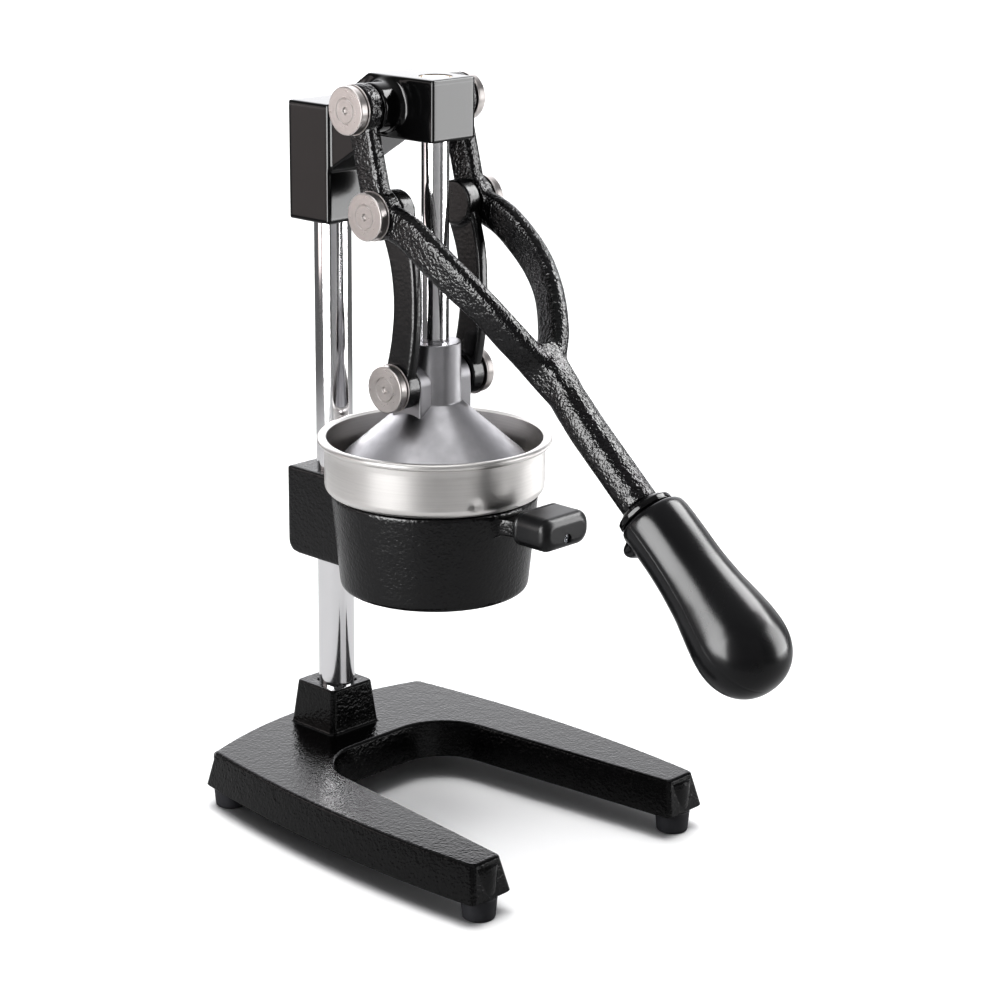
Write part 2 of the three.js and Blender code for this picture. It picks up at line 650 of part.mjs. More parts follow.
function gripBody() {
  const profile = [[0, 72], [5.3, 72], [5.3, 0], [15, 0]];
  const outline = new THREE.SplineCurve([
    [15, 0], [17.9, 4], [18.6, 12], [18.7, 24], [19.6, 43], [22.1, 61], [24.5, 76], [24.8, 85], [23, 94.8],
    [19.4, 101.6], [11.5, 108], [0, GRIP_LENGTH],
  ].map(([r, s]) => new THREE.Vector2(r, s)));
  for (const point of outline.getPoints(13).slice(1, -1)) profile.push([point.x, point.y]);
  profile.push([0, GRIP_LENGTH]);
  const stop = new THREE.SphereGeometry(1, 16, 8);
  stop.scale(12.5, 9.2, 6.5);
  stop.translate(0, -14.5, 7.8);
  const bore = turned([[0, -5], [5.3, -5], [5.3, 72], [0, 72]]);
  const body = turned(profile).warp((point) => {
    point[1] += gripRise(point[2]);
  });
  return less(body.add(solidOf(stop)), [bore]);
}

add("handle_grip", alongShaft(gripBody(), RING_LENGTH - 0.3), glossBlack());

// ---------------------------------------------------------------- links
function link(side) {
  const [near, far] = layer(side, LINK_INNER, LINK_OUTER);
  const mid = side * 25.4;
  const web = bar(stationsThrough([
    [mid, ELBOW.y, ELBOW.z, 20, 7],
    [mid, -2, 327, 18.5, 6.6],
    [mid, -4.6, 303, 17, 6.4],
    [mid, -3, 279, 17.8, 6.6],
    [mid, RAM_PIVOT.y, RAM_PIVOT.z, 19, 7],
  ], 8));
  const eyes = [ELBOW, RAM_PIVOT].map((pivot) => cylinderX(LINK_EYE_RADIUS, near, far, pivot.y, pivot.z));
  const bore = cylinderX(PIN_RADIUS + GAP, near - 1, far + 1, RAM_PIVOT.y, RAM_PIVOT.z, SMALL);
  return less(union([web, ...eyes]), [bore]);
}

for (const [name, side] of SIDES) add(`link_${name}`, link(side), satinBlack());

// ---------------------------------------------------------------- ram and guide rod
const SCREW_HOLE = 3.3;
const LUG_FOOT = 238; // where the lugs run into the cone

function ram() {
  const body = turned(closed([
    [SCREW_HOLE, 243.5],
    [SCREW_HOLE, ROD_BOTTOM - GAP],
    [ROD_RADIUS + 0.2, ROD_BOTTOM - GAP],
    [ROD_RADIUS + 0.2, RAM_COLLAR_TOP],
    [RAM_COLLAR_RADIUS - 0.6, RAM_COLLAR_TOP],
    [RAM_COLLAR_RADIUS, RAM_COLLAR_TOP - 0.6],
    [RAM_COLLAR_RADIUS, RAM_CONE_TOP],
    [RAM_SKIRT_RADIUS - 2, RAM_SKIRT_TOP + 1.6],
    [RAM_SKIRT_RADIUS, RAM_SKIRT_TOP - 1],
    [RAM_SKIRT_RADIUS, RAM_SKIRT_BOTTOM + 1],
    [RAM_SKIRT_RADIUS - 1, RAM_SKIRT_BOTTOM],
    [47, RAM_SKIRT_BOTTOM],
    [9, 241.5],
    [7.6, 243.5],
  ]));
  const { y, z } = RAM_PIVOT;
  const lugs = SIDES.flatMap(([, side]) => {
    const [from, to] = layer(side, LUG_INNER, LUG_OUTER);
    return [cylinderX(LUG_RADIUS, from, to, y, z), box(from, to, y - LUG_RADIUS, y + LUG_RADIUS, LUG_FOOT, z)];
  });
  const pinBores = SIDES.map(([, side]) => {
    const [from, to] = layer(side, RAM_PIN_INNER - GAP, LUG_OUTER + 1);
    return cylinderX(PIN_RADIUS + GAP, from, to, y, z, SMALL);
  });
  const rodBore = cylinderZ(ROD_RADIUS + 0.2, 0, 0, ROD_BOTTOM - GAP, RAM_COLLAR_TOP + 1);
  return less(union([body, ...lugs]), [rodBore, ...pinBores]);
}

add("ram", ram(), aluminium());
add("guide_rod", turned([
  [0, 270],
  [SCREW_HOLE, 270],
  [SCREW_HOLE, ROD_BOTTOM],
  [ROD_RADIUS, ROD_BOTTOM],
  [ROD_RADIUS, ROD_TOP - 0.7],
  [ROD_RADIUS - 0.7, ROD_TOP],
  [0, ROD_TOP],
]), chrome());
add("ram_screw", turned([[0, 240], [4.4, 240], [5.8, 241.4], [5.8, 243.2], [3, 243.2], [3, 268], [0, 268]], SMALL), zinc());

// ---------------------------------------------------------------- strainer cup and cone
function strainerCup() {
  const rollRadius = 2.1;
  const rollX = CUP_RIM_RADIUS - rollRadius;
  const rollZ = CUP_RIM_TOP - rollRadius;
  const profile = [[CUP_WALL_RADIUS - SHEET, rollZ + 1]];
  for (let i = 0; i <= 5; i++) {
    const angle = Math.PI * (0.85 - (i * 1.75) / 5);
    profile.push([rollX + rollRadius * Math.cos(angle), rollZ + rollRadius * Math.sin(angle)]);
  }
  profile.push(
    [CUP_WALL_RADIUS, rollZ - 2.2],
    [CUP_WALL_RADIUS, CUP_SHOULDER + 5],
    [CUP_WALL_RADIUS - 1.5, CUP_SHOULDER + 1.5],
    [CUP_WALL_RADIUS - 5, CUP_SHOULDER],
    [CUP_LOWER_RADIUS, CUP_SHOULDER],
    [CUP_LOWER_RADIUS - 0.5, CUP_FLOOR + 1.5],
    [CUP_LOWER_RADIUS - 2, CUP_FLOOR],
    [45.6, CUP_FLOOR],
    [45.6, CUP_FLOOR + SHEET],
    [CUP_LOWER_RADIUS - 2.6, CUP_FLOOR + SHEET],
    [CUP_LOWER_RADIUS - SHEET - 0.5, CUP_FLOOR + 3],
    [CUP_LOWER_RADIUS - SHEET, CUP_SHOULDER + SHEET],
    [CUP_WALL_RADIUS - 5.5, CUP_SHOULDER + SHEET],
    [CUP_WALL_RADIUS - 2.4, CUP_SHOULDER + 2.6],
    [CUP_WALL_RADIUS - SHEET, CUP_SHOULDER + 5.5],
  );
  return turned(closed(profile), FINE);
}

function strainerCone() {
  const seat = CUP_FLOOR + SHEET + GAP;
  const cone = turned([
    [0, 236],
    [4, 235.2],
    [44, seat + SHEET],
    [49, seat + SHEET],
    [49, seat],
    [43, seat],
    [3.4, 233.8],
    [0, 234.5],
  ], FINE);
  const slots = [];
  for (let row = 0; row < 3; row++) {
    const count = 8 + row * 4;
    const radius = 16 + row * 11;
    for (let i = 0; i < count; i++) {
      const angle = (360 * (i + (row % 2) / 2)) / count;
      slots.push(box(radius - 3.6, radius + 3.6, -1.2, 1.2, 150, 260).rotate([0, 0, angle]));
    }
  }
  return less(cone, slots);
}

add("strainer_cup", strainerCup(), brushedSteel());
add("strainer_cone", strainerCone(), brushedSteel());

// ---------------------------------------------------------------- bowl, its bracket and its grip
function bowlCasting() {
  const solidBowl = turned([
    [0, BOWL_BOTTOM],
    [BOWL_BOTTOM_RADIUS - 8, BOWL_BOTTOM],
    [BOWL_BOTTOM_RADIUS - 2.6, BOWL_BOTTOM + 2.2],
    [BOWL_BOTTOM_RADIUS, BOWL_BOTTOM + 8],
    [BOWL_TOP_RADIUS, BOWL_TOP - 0.8],
    [BOWL_TOP_RADIUS - 0.8, BOWL_TOP],
    [0, BOWL_TOP],
  ], FINE);
  const flare = outlineLoft([BRACKET_BOTTOM + 2, BRACKET_TOP].map((z) => ({
    z,
    points: [[-38, 42], [38, 42], [24, 56], [BRACKET_HALF, 74], [-BRACKET_HALF, 74], [-24, 56]]
      .map(([x, y]) => new THREE.Vector2(x, y)),
  })));
  const bracket = sidePlate([
    [40, BRACKET_BOTTOM + 2],
    [70, BRACKET_BOTTOM],
    [BRACKET_BACK_Y - 7, BRACKET_BOTTOM],
    [BRACKET_BACK_Y - 2, BRACKET_BOTTOM + 2],
    [BRACKET_BACK_Y, BRACKET_BOTTOM + 7],
    [BRACKET_BACK_Y, BRACKET_TOP],
    [40, BRACKET_TOP],
  ], -BRACKET_HALF, BRACKET_HALF);
  const tang = box(-TANG.half, TANG.half, TANG.front, -50, TANG.bottom, TANG.top);
  const spout = cylinderZ(OUTLET_RADIUS + 3, 0, 0, BOWL_BOTTOM - 5, BOWL_BOTTOM + 2);
  const inside = turned([
    [0, BOWL_BOTTOM - 10],
    [OUTLET_RADIUS, BOWL_BOTTOM - 10],
    [OUTLET_RADIUS, BOWL_BOTTOM + 5],
    [BOWL_BOTTOM_RADIUS - BOWL_WALL - 3, BOWL_BOTTOM + 9],
    [BOWL_BOTTOM_RADIUS - BOWL_WALL, BOWL_BOTTOM + 13],
    [BOWL_TOP_RADIUS - BOWL_WALL, BOWL_TOP + 1],
    [0, BOWL_TOP + 1],
  ], FINE);
  return less(union([solidBowl, flare, bracket, tang, spout]), [
    inside,
    cylinderZ(COLUMN_BORE, 0, COLUMN_Y, BRACKET_BOTTOM - 2, BRACKET_TOP + 2),
    setScrewHole(BRACKET_BACK_Y, SET_SCREW_HEIGHTS.bowl),
    cylinderY(2.1, TANG.front - 1, -66, 0, GRIP_SCREW_Z, 16),
  ]);
}

function bowlGrip() {
  const { half, back, front, bottom, top } = BOWL_GRIP;
  const levels = [
    [-2.5, bottom], [-0.8, bottom + 0.8], [0, bottom + 3], [0, top - 4], [-1.2, top - 1.2], [-3.6, top],
  ];
  const outline = roundedOutline([
    { x: half, y: front, r: 6 },
    { x: half, y: back, r: 5 },
    { x: -half, y: back, r: 5 },
    { x: -half, y: front, r: 6 },
  ]);
  const body = outlineLoft(levels.map(([grow, z]) => ({ points: grown(outline, grow), z })));
  const slot = box(-TANG.half - GAP, TANG.half + GAP, TANG.front - GAP, back + 5, TANG.bottom - 3, TANG.top + GAP);
  const hole = cylinderY(2.3, front - 1, back, 0, GRIP_SCREW_Z, 16);
  const recess = cylinderY(4.6, front - 1, front + 4.5, 0, GRIP_SCREW_Z, 24);
  return less(body, [slot, hole, recess]);
}

function bowlGripScrew() {
  const seat = BOWL_GRIP.front + 4.2;
  const head = cylinderY(4, seat - 2.6, seat, 0, GRIP_SCREW_Z, 24);
  const shank = cylinderY(1.8, seat - 0.5, -68, 0, GRIP_SCREW_Z, 16);
  const cross = [box(-2.4, 2.4, seat - 4, seat - 1.6, GRIP_SCREW_Z - 0.5, GRIP_SCREW_Z + 0.5),
    box(-0.5, 0.5, seat - 4, seat - 1.6, GRIP_SCREW_Z - 2.4, GRIP_SCREW_Z + 2.4)];
  return less(union([head, shank]), cross);
}

add("bowl_casting", bowlCasting(), hammered());
add("bowl_set_screw", setScrew(BRACKET_BACK_Y, SET_SCREW_HEIGHTS.bowl), zinc());
add("bowl_grip", bowlGrip(), satinBlack());
add("bowl_grip_screw", bowlGripScrew(), zinc());

// The origin is the middle of the footprint, on the surface it stands on.
const extent = new THREE.Box3().setFromObject(press);
press.position.y = -(extent.min.y + extent.max.y) / 2;

export default press;
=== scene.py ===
"""A manual citrus press: smooth meshes and finishes around its CAD frame.

Lengths are in millimetres until a mesh is made. Y distances count from the guide rod's axis.
"""
from math import acos, atan2, cos, exp, pi, radians, remainder, sin, sqrt, tan, tau

import bmesh
import bpy
from mathutils import Matrix, Vector


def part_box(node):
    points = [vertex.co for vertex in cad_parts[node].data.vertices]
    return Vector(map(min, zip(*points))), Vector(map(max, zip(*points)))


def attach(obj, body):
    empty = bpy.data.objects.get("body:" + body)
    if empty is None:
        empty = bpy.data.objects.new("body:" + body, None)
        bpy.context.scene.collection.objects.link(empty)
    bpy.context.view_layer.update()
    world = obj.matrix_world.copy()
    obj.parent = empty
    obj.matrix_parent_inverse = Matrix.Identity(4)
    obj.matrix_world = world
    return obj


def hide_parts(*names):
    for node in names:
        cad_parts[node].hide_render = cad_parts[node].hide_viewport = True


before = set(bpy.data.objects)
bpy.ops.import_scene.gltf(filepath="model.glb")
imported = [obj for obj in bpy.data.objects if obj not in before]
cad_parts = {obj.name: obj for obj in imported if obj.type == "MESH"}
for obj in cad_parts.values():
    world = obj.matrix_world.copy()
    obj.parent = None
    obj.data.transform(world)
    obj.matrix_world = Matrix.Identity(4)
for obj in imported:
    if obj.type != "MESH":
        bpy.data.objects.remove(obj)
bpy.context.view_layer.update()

MM = 0.001


def low(node):
    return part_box(node)[0] / MM


def high(node):
    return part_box(node)[1] / MM


def middle(node):
    return (low(node) + high(node)) / 2


def radius_of(node):
    """Of a round node whose axis is upright."""
    return (high(node).x - low(node).x) / 2


ROD_Y = middle("guide_rod").y
COLUMN_Y = middle("column").y - ROD_Y
SIDES = {"left": -1, "right": 1}

# ---- sizes of the looks
EDGE = 2.0  # radius of a cast edge
FINE = 128  # sides of a large turned piece
ROUND = 72  # sides of a small one

BASE_TOP = 33.5
BASE_BOTTOM = low("base_casting").z
BASE_DRAFT = 4.7
BASE_WALL = 5.0
BASE_DECK = 6.0
SKIRT_EDGE = 0.8  # easing at the foot of the base's walls
RIB_HALF = 2.0  # half the thickness of a rib under the deck
REAR_RIBS_X = (-50, 50)
LEG_RIBS_Y = (-60, -10)
CROSS_RIB_Y = 58
LEG_TIP_Y = -117.3
LEG_TIP_OUTER = 89.3
LEG_TIP_INNER = 68.5
REAR_CORNER = (82.0, 96.0)
REAR_MIDDLE_Y = 110.5
SIDE_BULGE = 7.2
BAY_CORNER = (51.0, 46.5)
BAY_RADIUS = 34.5
BASE_CORNER = 3.2
PEDESTAL_Y = 83.0
PEDESTAL_TOP = 59.6
PEDESTAL_TOP_HALF = 15.8
PEDESTAL_BOTTOM_HALF = 18.4
MOUTH_RADIUS = 11.5  # the pedestal's bore, open around the column
FEET = ["foot_front_left", "foot_front_right", "foot_rear_left", "foot_rear_right"]
FOOT_BOSS_RADIUS = 9.6

HEAD_TOP = high("head_casting").z
HEAD_FLOOR = 388.0
HEAD_FRONT_Y = -14.0
HEAD_HALF = 16.0
HEAD_SLOPE_Y = 35.5
SOCKET_HALF = 18.0
SOCKET_FRONT_Y = 65.0
SOCKET_BACK_Y = 97.0
SOCKET_TOP = 401.0
SOCKET_BOTTOM = low("head_casting").z
GUSSET_TIP_Y = 27.5
GUSSET_Z = 366.0
BOSS_RADIUS = 13.4
PAD_RADIUS = 19.0
HEAD_BOSS_OUTER = 29.7
SCREW_HOLE_RADIUS = 4.3

EYE_RADIUS = 13.6
YOKE_INNER, YOKE_OUTER = 30.2, 40.2  # of the handle's eyes, across X
LINK_EYE_RADIUS = 12.3
LINK_INNER, LINK_OUTER = 20.2, 29.8
LINK_MIDDLE = 25.4
LUG_RADIUS = 11.0
LUG_INNER, LUG_OUTER = 9.5, 19.8
LUG_FOOT = 236  # buried in the cone

SHAFT_ANGLE = radians(41.5)

CUP_RIM_TOP = high("strainer_cup").z
CUP_RIM_RADIUS = radius_of("strainer_cup")
CUP_WALL_RADIUS = 61.0
CUP_SHOULDER = 193.9
CUP_LOWER_RADIUS = 52.6
CUP_FLOOR = low("strainer_cup").z
SHEET = 1.2

BOWL_TOP = 193.4
BOWL_TOP_RADIUS = 57.6
BOWL_BOTTOM = 138.7
BOWL_BOTTOM_RADIUS = 52.5
BOWL_WALL = 4.0
OUTLET_RADIUS = 13.0
BRACKET_HALF = 17.5
BRACKET_BACK_Y = high("bowl_casting").y - ROD_Y
BRACKET_TOP = 190.5
BRACKET_BOTTOM = 139.0
BRACKET_FILLET = 14.0


# ---- shapes: (vertices, faces)
def joined(*shapes):
    points, faces = [], []
    for some_points, some_faces in shapes:
        start = len(points)
        points.extend(some_points)
        faces.extend([tuple(i + start for i in face) for face in some_faces])
    return points, faces


def placed(shape, matrix):
    return [matrix @ Vector(p) for p in shape[0]], shape[1]


def moved(shape, x=0.0, y=0.0, z=0.0):
    return placed(shape, Matrix.Translation((x, y, z)))


def rounded(corners, steps=6):
    """Corners (x, y, radius) to points. A corner with no radius stays sharp."""
    points = []
    for i, (x, y, radius) in enumerate(corners):
        here = Vector((x, y))
        if not radius:
            points.append(here)
            continue
        after = corners[(i + 1) % len(corners)]
        back = (Vector(corners[i - 1][:2]) - here).normalized()
        ahead = (Vector(after[:2]) - here).normalized()
        half = back.angle(ahead) / 2
        centre = here + (back + ahead).normalized() * (radius / sin(half))
        first = here + back * (radius / tan(half)) - centre
        last = here + ahead * (radius / tan(half)) - centre
        start = atan2(first.y, first.x)
        sweep = remainder(atan2(last.y, last.x) - start, tau)
        for k in range(steps + 1):
            angle = start + sweep * k / steps
            points.append(centre + Vector((cos(angle), sin(angle))) * radius)
    return points


def turned(profile, sides=ROUND):
    """A body turned about Z from (radius, z, corner radius) rows, from axis to axis or as a ring."""
    line = rounded([(*row, 0)[:3] for row in profile], 5)
    on_axis = 1e-6
    points, faces, rows = [], [], []
    for p in line:
        if p.x < on_axis:
            rows.append([len(points)] * sides)
            points.append(Vector((0, 0, p.y)))
            continue
        rows.append([len(points) + i for i in range(sides)])
        for i in range(sides):
            angle = tau * i / sides
            points.append(Vector((p.x * cos(angle), p.x * sin(angle), p.y)))
    ring = line[0].x > on_axis
    pairs = list(zip(rows, rows[1:])) + ([(rows[-1], rows[0])] if ring else [])
    for a, b in pairs:
        for i in range(sides):
            j = (i + 1) % sides
            corners = [a[i], a[j], b[j], b[i]]
            face = tuple(dict.fromkeys(corners))
            if len(face) > 2:
                faces.append(face)
    return points, faces


def loft(rings):
    """A closed body through rings of equally many points."""
    count = len(rings[0])
    points = [Vector(p) for ring in rings for p in ring]
    faces = []
    for r in range(len(rings) - 1):
        for i in range(count):
            j = (i + 1) % count
            faces.append((r * count + i, r * count + j, (r + 1) * count + j, (r + 1) * count + i))
    faces.append(tuple(reversed(range(count))))
    faces.append(tuple(range((len(rings) - 1) * count, len(rings) * count)))
    return points, faces


def upright(levels):
    """A body from (outline, z) levels."""
    return loft([[(p.x, p.y, z) for p in outline] for outline, z in levels])


def grown(outline, distance):
    """Each point of a counter-clockwise outline moved outwards."""
    result = []
    for i, point in enumerate(outline):
        first = (point - outline[i - 1]).normalized()
        second = (outline[(i + 1) % len(outline)] - point).normalized()
        normal = Vector((first.y + second.y, -first.x - second.x)).normalized()
        half = acos(max(-1, min(1, first.dot(second)))) / 2
        result.append(point + normal * distance / max(0.5, cos(half)))
    return result


def plate(corners, x0, x1):
    """A plate across X from rounded (y, z, radius) corners."""
    outline = rounded(corners)
    return loft([[(x, p.x, p.y) for p in outline] for x in (x0, x1)])


def block(x0, x1, y0, y1, z0, z1):
    return plate([(y0, z0, 0), (y1, z0, 0), (y1, z1, 0), (y0, z1, 0)], x0, x1)


def square(half, y, radius):
    return rounded([(half, y - half, radius), (half, y + half, radius), (-half, y + half, radius),
                    (-half, y - half, radius)])


def through(knots, count):
    """Rows of numbers along a smooth curve through rows of knots."""
    rows = []
    for i in range(count + 1):
        place = i / count * (len(knots) - 1)
        k = min(int(place), len(knots) - 2)
        t = place - k
        near = [knots[max(0, min(len(knots) - 1, k + d))] for d in (-1, 0, 1, 2)]
        rows.append([
            0.5 * (2 * b + (c - a) * t + (2 * a - 5 * b + 4 * c - d) * t * t
                   + (3 * b - a - 3 * c + d) * t ** 3)
            for a, b, c, d in zip(*near)
        ])
    return rows


def bar(stations, corner=0.36):
    """A rounded bar along (x, y, z, wide, thick) stations. Its width lies in the plane of its slope."""
    centres = [Vector(s[:3]) for s in stations]
    rings = []
    for i, (_, _, _, wide, thick) in enumerate(stations):
        along = (centres[min(i + 1, len(centres) - 1)] - centres[max(i - 1, 0)]).normalized()
        across = (Vector((1, 0, 0)) - along * along.x).normalized()
        up = along.cross(across).normalized()
        radius = corner * min(wide, thick)
        w, t = wide / 2, thick / 2
        section = rounded([(-t, -w, radius), (t, -w, radius), (t, w, radius), (-t, w, radius)], 5)
        rings.append([centres[i] + across * p.x + up * p.y for p in section])
    return loft(rings)


def facing(side):
    """Turns Z outwards along X, on the given side."""
    return Matrix.Rotation(side * pi / 2, 4, "Y")


def eye(side, inner, outer, pivot, radius, edge=1.0):
    """A round boss across X around a pivot (y, z)."""
    body = turned([(0, inner), (radius, inner, edge), (radius, outer, edge), (0, outer)], ROUND)
    return placed(body, Matrix.Translation((0, *pivot)) @ facing(side))


# ---- objects
def linked(name, data, place=Matrix.Identity(4)):
    """An object of the scene with this data, at a place in metres."""
    made = bpy.data.objects.new(name, data)
    bpy.context.scene.collection.objects.link(made)
    made.matrix_world = place
    return made


def object_of(name, shape, matrix=Matrix.Identity(4)):
    """Makes an object. The shape is in its local millimetres, and matrix places it in the rod's frame."""
    mesh = bpy.data.meshes.new(name)
    mesh.from_pydata([p * MM for p in shape[0]], [], shape[1])
    work = bmesh.new()
    work.from_mesh(mesh)
    bmesh.ops.recalc_face_normals(work, faces=work.faces)
    work.to_mesh(mesh)
    work.free()
    return linked(name, mesh, Matrix.Translation((0, ROD_Y * MM, 0)) @ matrix)


def in_metres(matrix):
    """The same placing with its shift in metres."""
    result = matrix.copy()
    result.translation = result.translation * MM
    return result


def applied(piece):
    """Leaves the piece with the mesh that its modifiers make."""
    bpy.context.view_layer.update()
    graph = bpy.context.evaluated_depsgraph_get()
    mesh = bpy.data.meshes.new_from_object(piece.evaluated_get(graph))
    piece.modifiers.clear()
    piece.data = mesh
    return piece


def cut(piece, cutter, operation="DIFFERENCE"):
    tool = object_of(piece.name + "_tool", cutter)
    boolean = piece.modifiers.new("cut", "BOOLEAN")
    boolean.operation = operation
    boolean.solver = "EXACT"
    boolean.object = tool
    applied(piece)
    bpy.data.objects.remove(tool)
    return piece


def eased(piece, width=EDGE, segments=4, angle=25):
    """Rounds the edges of a flat-sided piece."""
    bevel = piece.modifiers.new("ease", "BEVEL")
    bevel.width = width * MM
    bevel.segments = segments
    bevel.limit_method = "ANGLE"
    bevel.angle_limit = radians(angle)
    return applied(piece)


def cast(name, shapes, cell, passes):
    """One casting from overlapping solids, its inner corners filled and its outer ones eased."""
    piece = object_of(name, joined(*shapes))
    remesh = piece.modifiers.new("fuse", "REMESH")
    remesh.mode = "VOXEL"
    remesh.voxel_size = cell * MM
    smooth = piece.modifiers.new("ease", "SMOOTH")
    smooth.factor = 0.5
    smooth.iterations = passes
    return applied(piece)


def complete(piece, material, body, nodes, flats=True):
    """Gives the piece its finish, its body and the CAD nodes that it stands for."""
    piece.data.materials.clear()
    piece.data.materials.append(material)
    piece.data.shade_smooth()
    if flats:
        weigh = piece.modifiers.new("flats", "WEIGHTED_NORMAL")
        weigh.weight = 100
        applied(piece)
    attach(piece, body)
    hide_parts(*nodes)
    return piece


def turned_piece(node, profile, material, body, matrix=Matrix.Identity(4), sides=ROUND):
    """A turned piece that stands for the node it is named after."""
    piece = object_of(node + "_look", turned(profile, sides), in_metres(matrix))
    return complete(piece, material, body, [node])


# ---- finishes
ARC_RADIUS = 50
RING_PITCH = 0.5  # of the turning marks on the discs


def add_node(tree, kind, inputs=None, **settings):
    """A node with its settings, and its inputs linked to sockets or set to values."""
    node = tree.nodes.new(kind)
    for key, value in settings.items():
        setattr(node, key, value)
    for key, value in (inputs or {}).items():
        if isinstance(value, bpy.types.NodeSocket):
            tree.links.new(value, node.inputs[key])
        else:
            node.inputs[key].default_value = value
    return node


class Finish:
    """A material with a Principled surface and the nodes that vary it."""

    def __init__(self, name, color, roughness, metallic=0.0, specular=0.5):
        self.material = bpy.data.materials.new(name)
        self.material.use_nodes = True
        self.tree = self.material.node_tree
        self.surface = self.tree.nodes["Principled BSDF"]
        self.surface.inputs["Metallic"].default_value = metallic
        self.surface.inputs["Specular IOR Level"].default_value = specular
        self.color = color
        self.roughness = roughness
        self.place = self.add("ShaderNodeTexCoord").outputs["Object"]
        self.normal = None

    def add(self, kind, inputs=None, **settings):
        return add_node(self.tree, kind, inputs, **settings)

    def math(self, operation, a, b=0.0):
        return self.add("ShaderNodeMath", {0: a, 1: b}, operation=operation).outputs[0]

    def scaled(self, vector, factors):
        node = self.add("ShaderNodeVectorMath", {0: vector, 1: factors}, operation="MULTIPLY")
        return node.outputs[0]

    def noise(self, size, vector=None, detail=2.0, stretch=(1, 1, 1)):
        """Noise with features about size millimetres across."""
        spot = self.scaled(vector or self.place, [f / (size * MM) for f in stretch])
        inputs = {"Vector": spot, "Scale": 1.0, "Detail": detail}
        return self.add("ShaderNodeTexNoise", inputs).outputs["Fac"]

    def cells(self, size, smoothness=0.6):
        """Rounded cells about size millimetres across."""
        spot = self.scaled(self.place, [1 / (size * MM)] * 3)
        node = self.add("ShaderNodeTexVoronoi", {"Vector": spot, "Scale": 1.0, "Smoothness": smoothness},
                        feature="SMOOTH_F1")
        return node.outputs["Distance"]

    def ranged(self, value, start, end, a=0.0, b=1.0):
        inputs = {"Value": value, "From Min": a, "From Max": b, "To Min": start, "To Max": end}
        return self.add("ShaderNodeMapRange", inputs).outputs["Result"]

    def radius(self):
        """Distance from the piece's own Z axis, in metres."""
        flat = self.scaled(self.place, (1, 1, 0))
        return self.add("ShaderNodeVectorMath", {0: flat}, operation="LENGTH").outputs["Value"]

    def around(self):
        """Coordinates (arc, height, radius) about the piece's own Z axis, in metres."""
        split = self.add("ShaderNodeSeparateXYZ", {0: self.place})
        angle = self.math("ARCTAN2", split.outputs["Y"], split.outputs["X"])
        arc = self.math("MULTIPLY", angle, ARC_RADIUS * MM)
        parts = {"X": arc, "Y": split.outputs["Z"], "Z": self.radius()}
        return self.add("ShaderNodeCombineXYZ", parts).outputs[0]

    def bump(self, height, depth):
        """Raises the surface by a height of 0 to 1 times depth, in millimetres."""
        inputs = {"Height": height, "Strength": 1.0, "Distance": depth * MM}
        if self.normal:
            inputs["Normal"] = self.normal
        self.normal = self.add("ShaderNodeBump", inputs).outputs["Normal"]

    def done(self, variation, spread=0.25, rough_spread=0.2):
        """Varies colour and roughness by a value of 0 to 1, and links everything up."""
        dark = [c * (1 - spread) for c in self.color]
        light = [min(1, c * (1 + spread)) for c in self.color]
        inputs = {"Factor": variation, 6: (*dark, 1), 7: (*light, 1)}
        mix = self.add("ShaderNodeMix", inputs, data_type="RGBA")
        self.tree.links.new(mix.outputs[2], self.surface.inputs["Base Color"])
        roughest, smoothest = (self.roughness * (1 + change) for change in (rough_spread, -rough_spread))
        rough = self.ranged(variation, roughest, smoothest)
        self.tree.links.new(rough, self.surface.inputs["Roughness"])
        if self.normal:
            self.tree.links.new(self.normal, self.surface.inputs["Normal"])
        return self.material


def hammered(name, depth, grain=1.6, roughness=0.13):
    """Hammer-finish enamel: smooth dimples with fine grain between them."""
    f = Finish(name, (0.0035, 0.0034, 0.0037), roughness, specular=0.5)
    f.bump(f.noise(grain, detail=1.5), depth)
    f.bump(f.cells(grain * 1.7, smoothness=0.35), depth * 0.6)
    f.bump(f.noise(7, detail=1), depth * 0.8)
    return f.done(f.noise(9))


def gloss_black():
    f = Finish("gloss_enamel", (0.003, 0.003, 0.0032), 0.12, specular=0.42)
    f.bump(f.noise(2.4, detail=1), 0.006)
    return f.done(f.noise(20, detail=4), 0.3, 0.3)


def satin_black():
    f = Finish("satin_enamel", (0.004, 0.004, 0.0043), 0.25, specular=0.5)
    f.bump(f.cells(1.8), 0.07)
    f.bump(f.noise(0.9), 0.04)
    return f.done(f.noise(10, detail=3), 0.3, 0.25)


def grip_plastic(name, roughness):
    f = Finish(name, (0.004, 0.004, 0.0045), roughness, specular=0.45)
    f.bump(f.noise(1.6, detail=2), 0.01)
    return f.done(f.noise(26, detail=5), 0.3, 0.35)


def rubber():
    f = Finish("foot_rubber", (0.014, 0.014, 0.016), 0.6, specular=0.3)
    f.bump(f.noise(0.6, detail=3), 0.06)
    return f.done(f.noise(4, detail=4), 0.3, 0.15)


def chrome():
    f = Finish("chrome_plate", (0.78, 0.775, 0.785), 0.1, metallic=1.0)
    f.bump(f.noise(0.5, stretch=(1, 1, 0.02), detail=2), 0.002)
    return f.done(f.noise(5, stretch=(1, 1, 0.3), detail=4), 0.03, 0.35)


def turned_steel():
    """Machined rings around each piece's own axis."""
    f = Finish("turned_steel", (0.62, 0.59, 0.575), 0.3, metallic=1.0)
    rings = f.math("SINE", f.math("MULTIPLY", f.radius(), tau / (RING_PITCH * MM)))
    f.bump(f.ranged(rings, 0, 1, -1, 1), 0.016)
    f.bump(f.noise(0.5, vector=f.around(), stretch=(0.1, 1, 1)), 0.012)
    return f.done(f.noise(1.3, vector=f.around(), stretch=(0.06, 1, 1), detail=3), 0.1, 0.25)


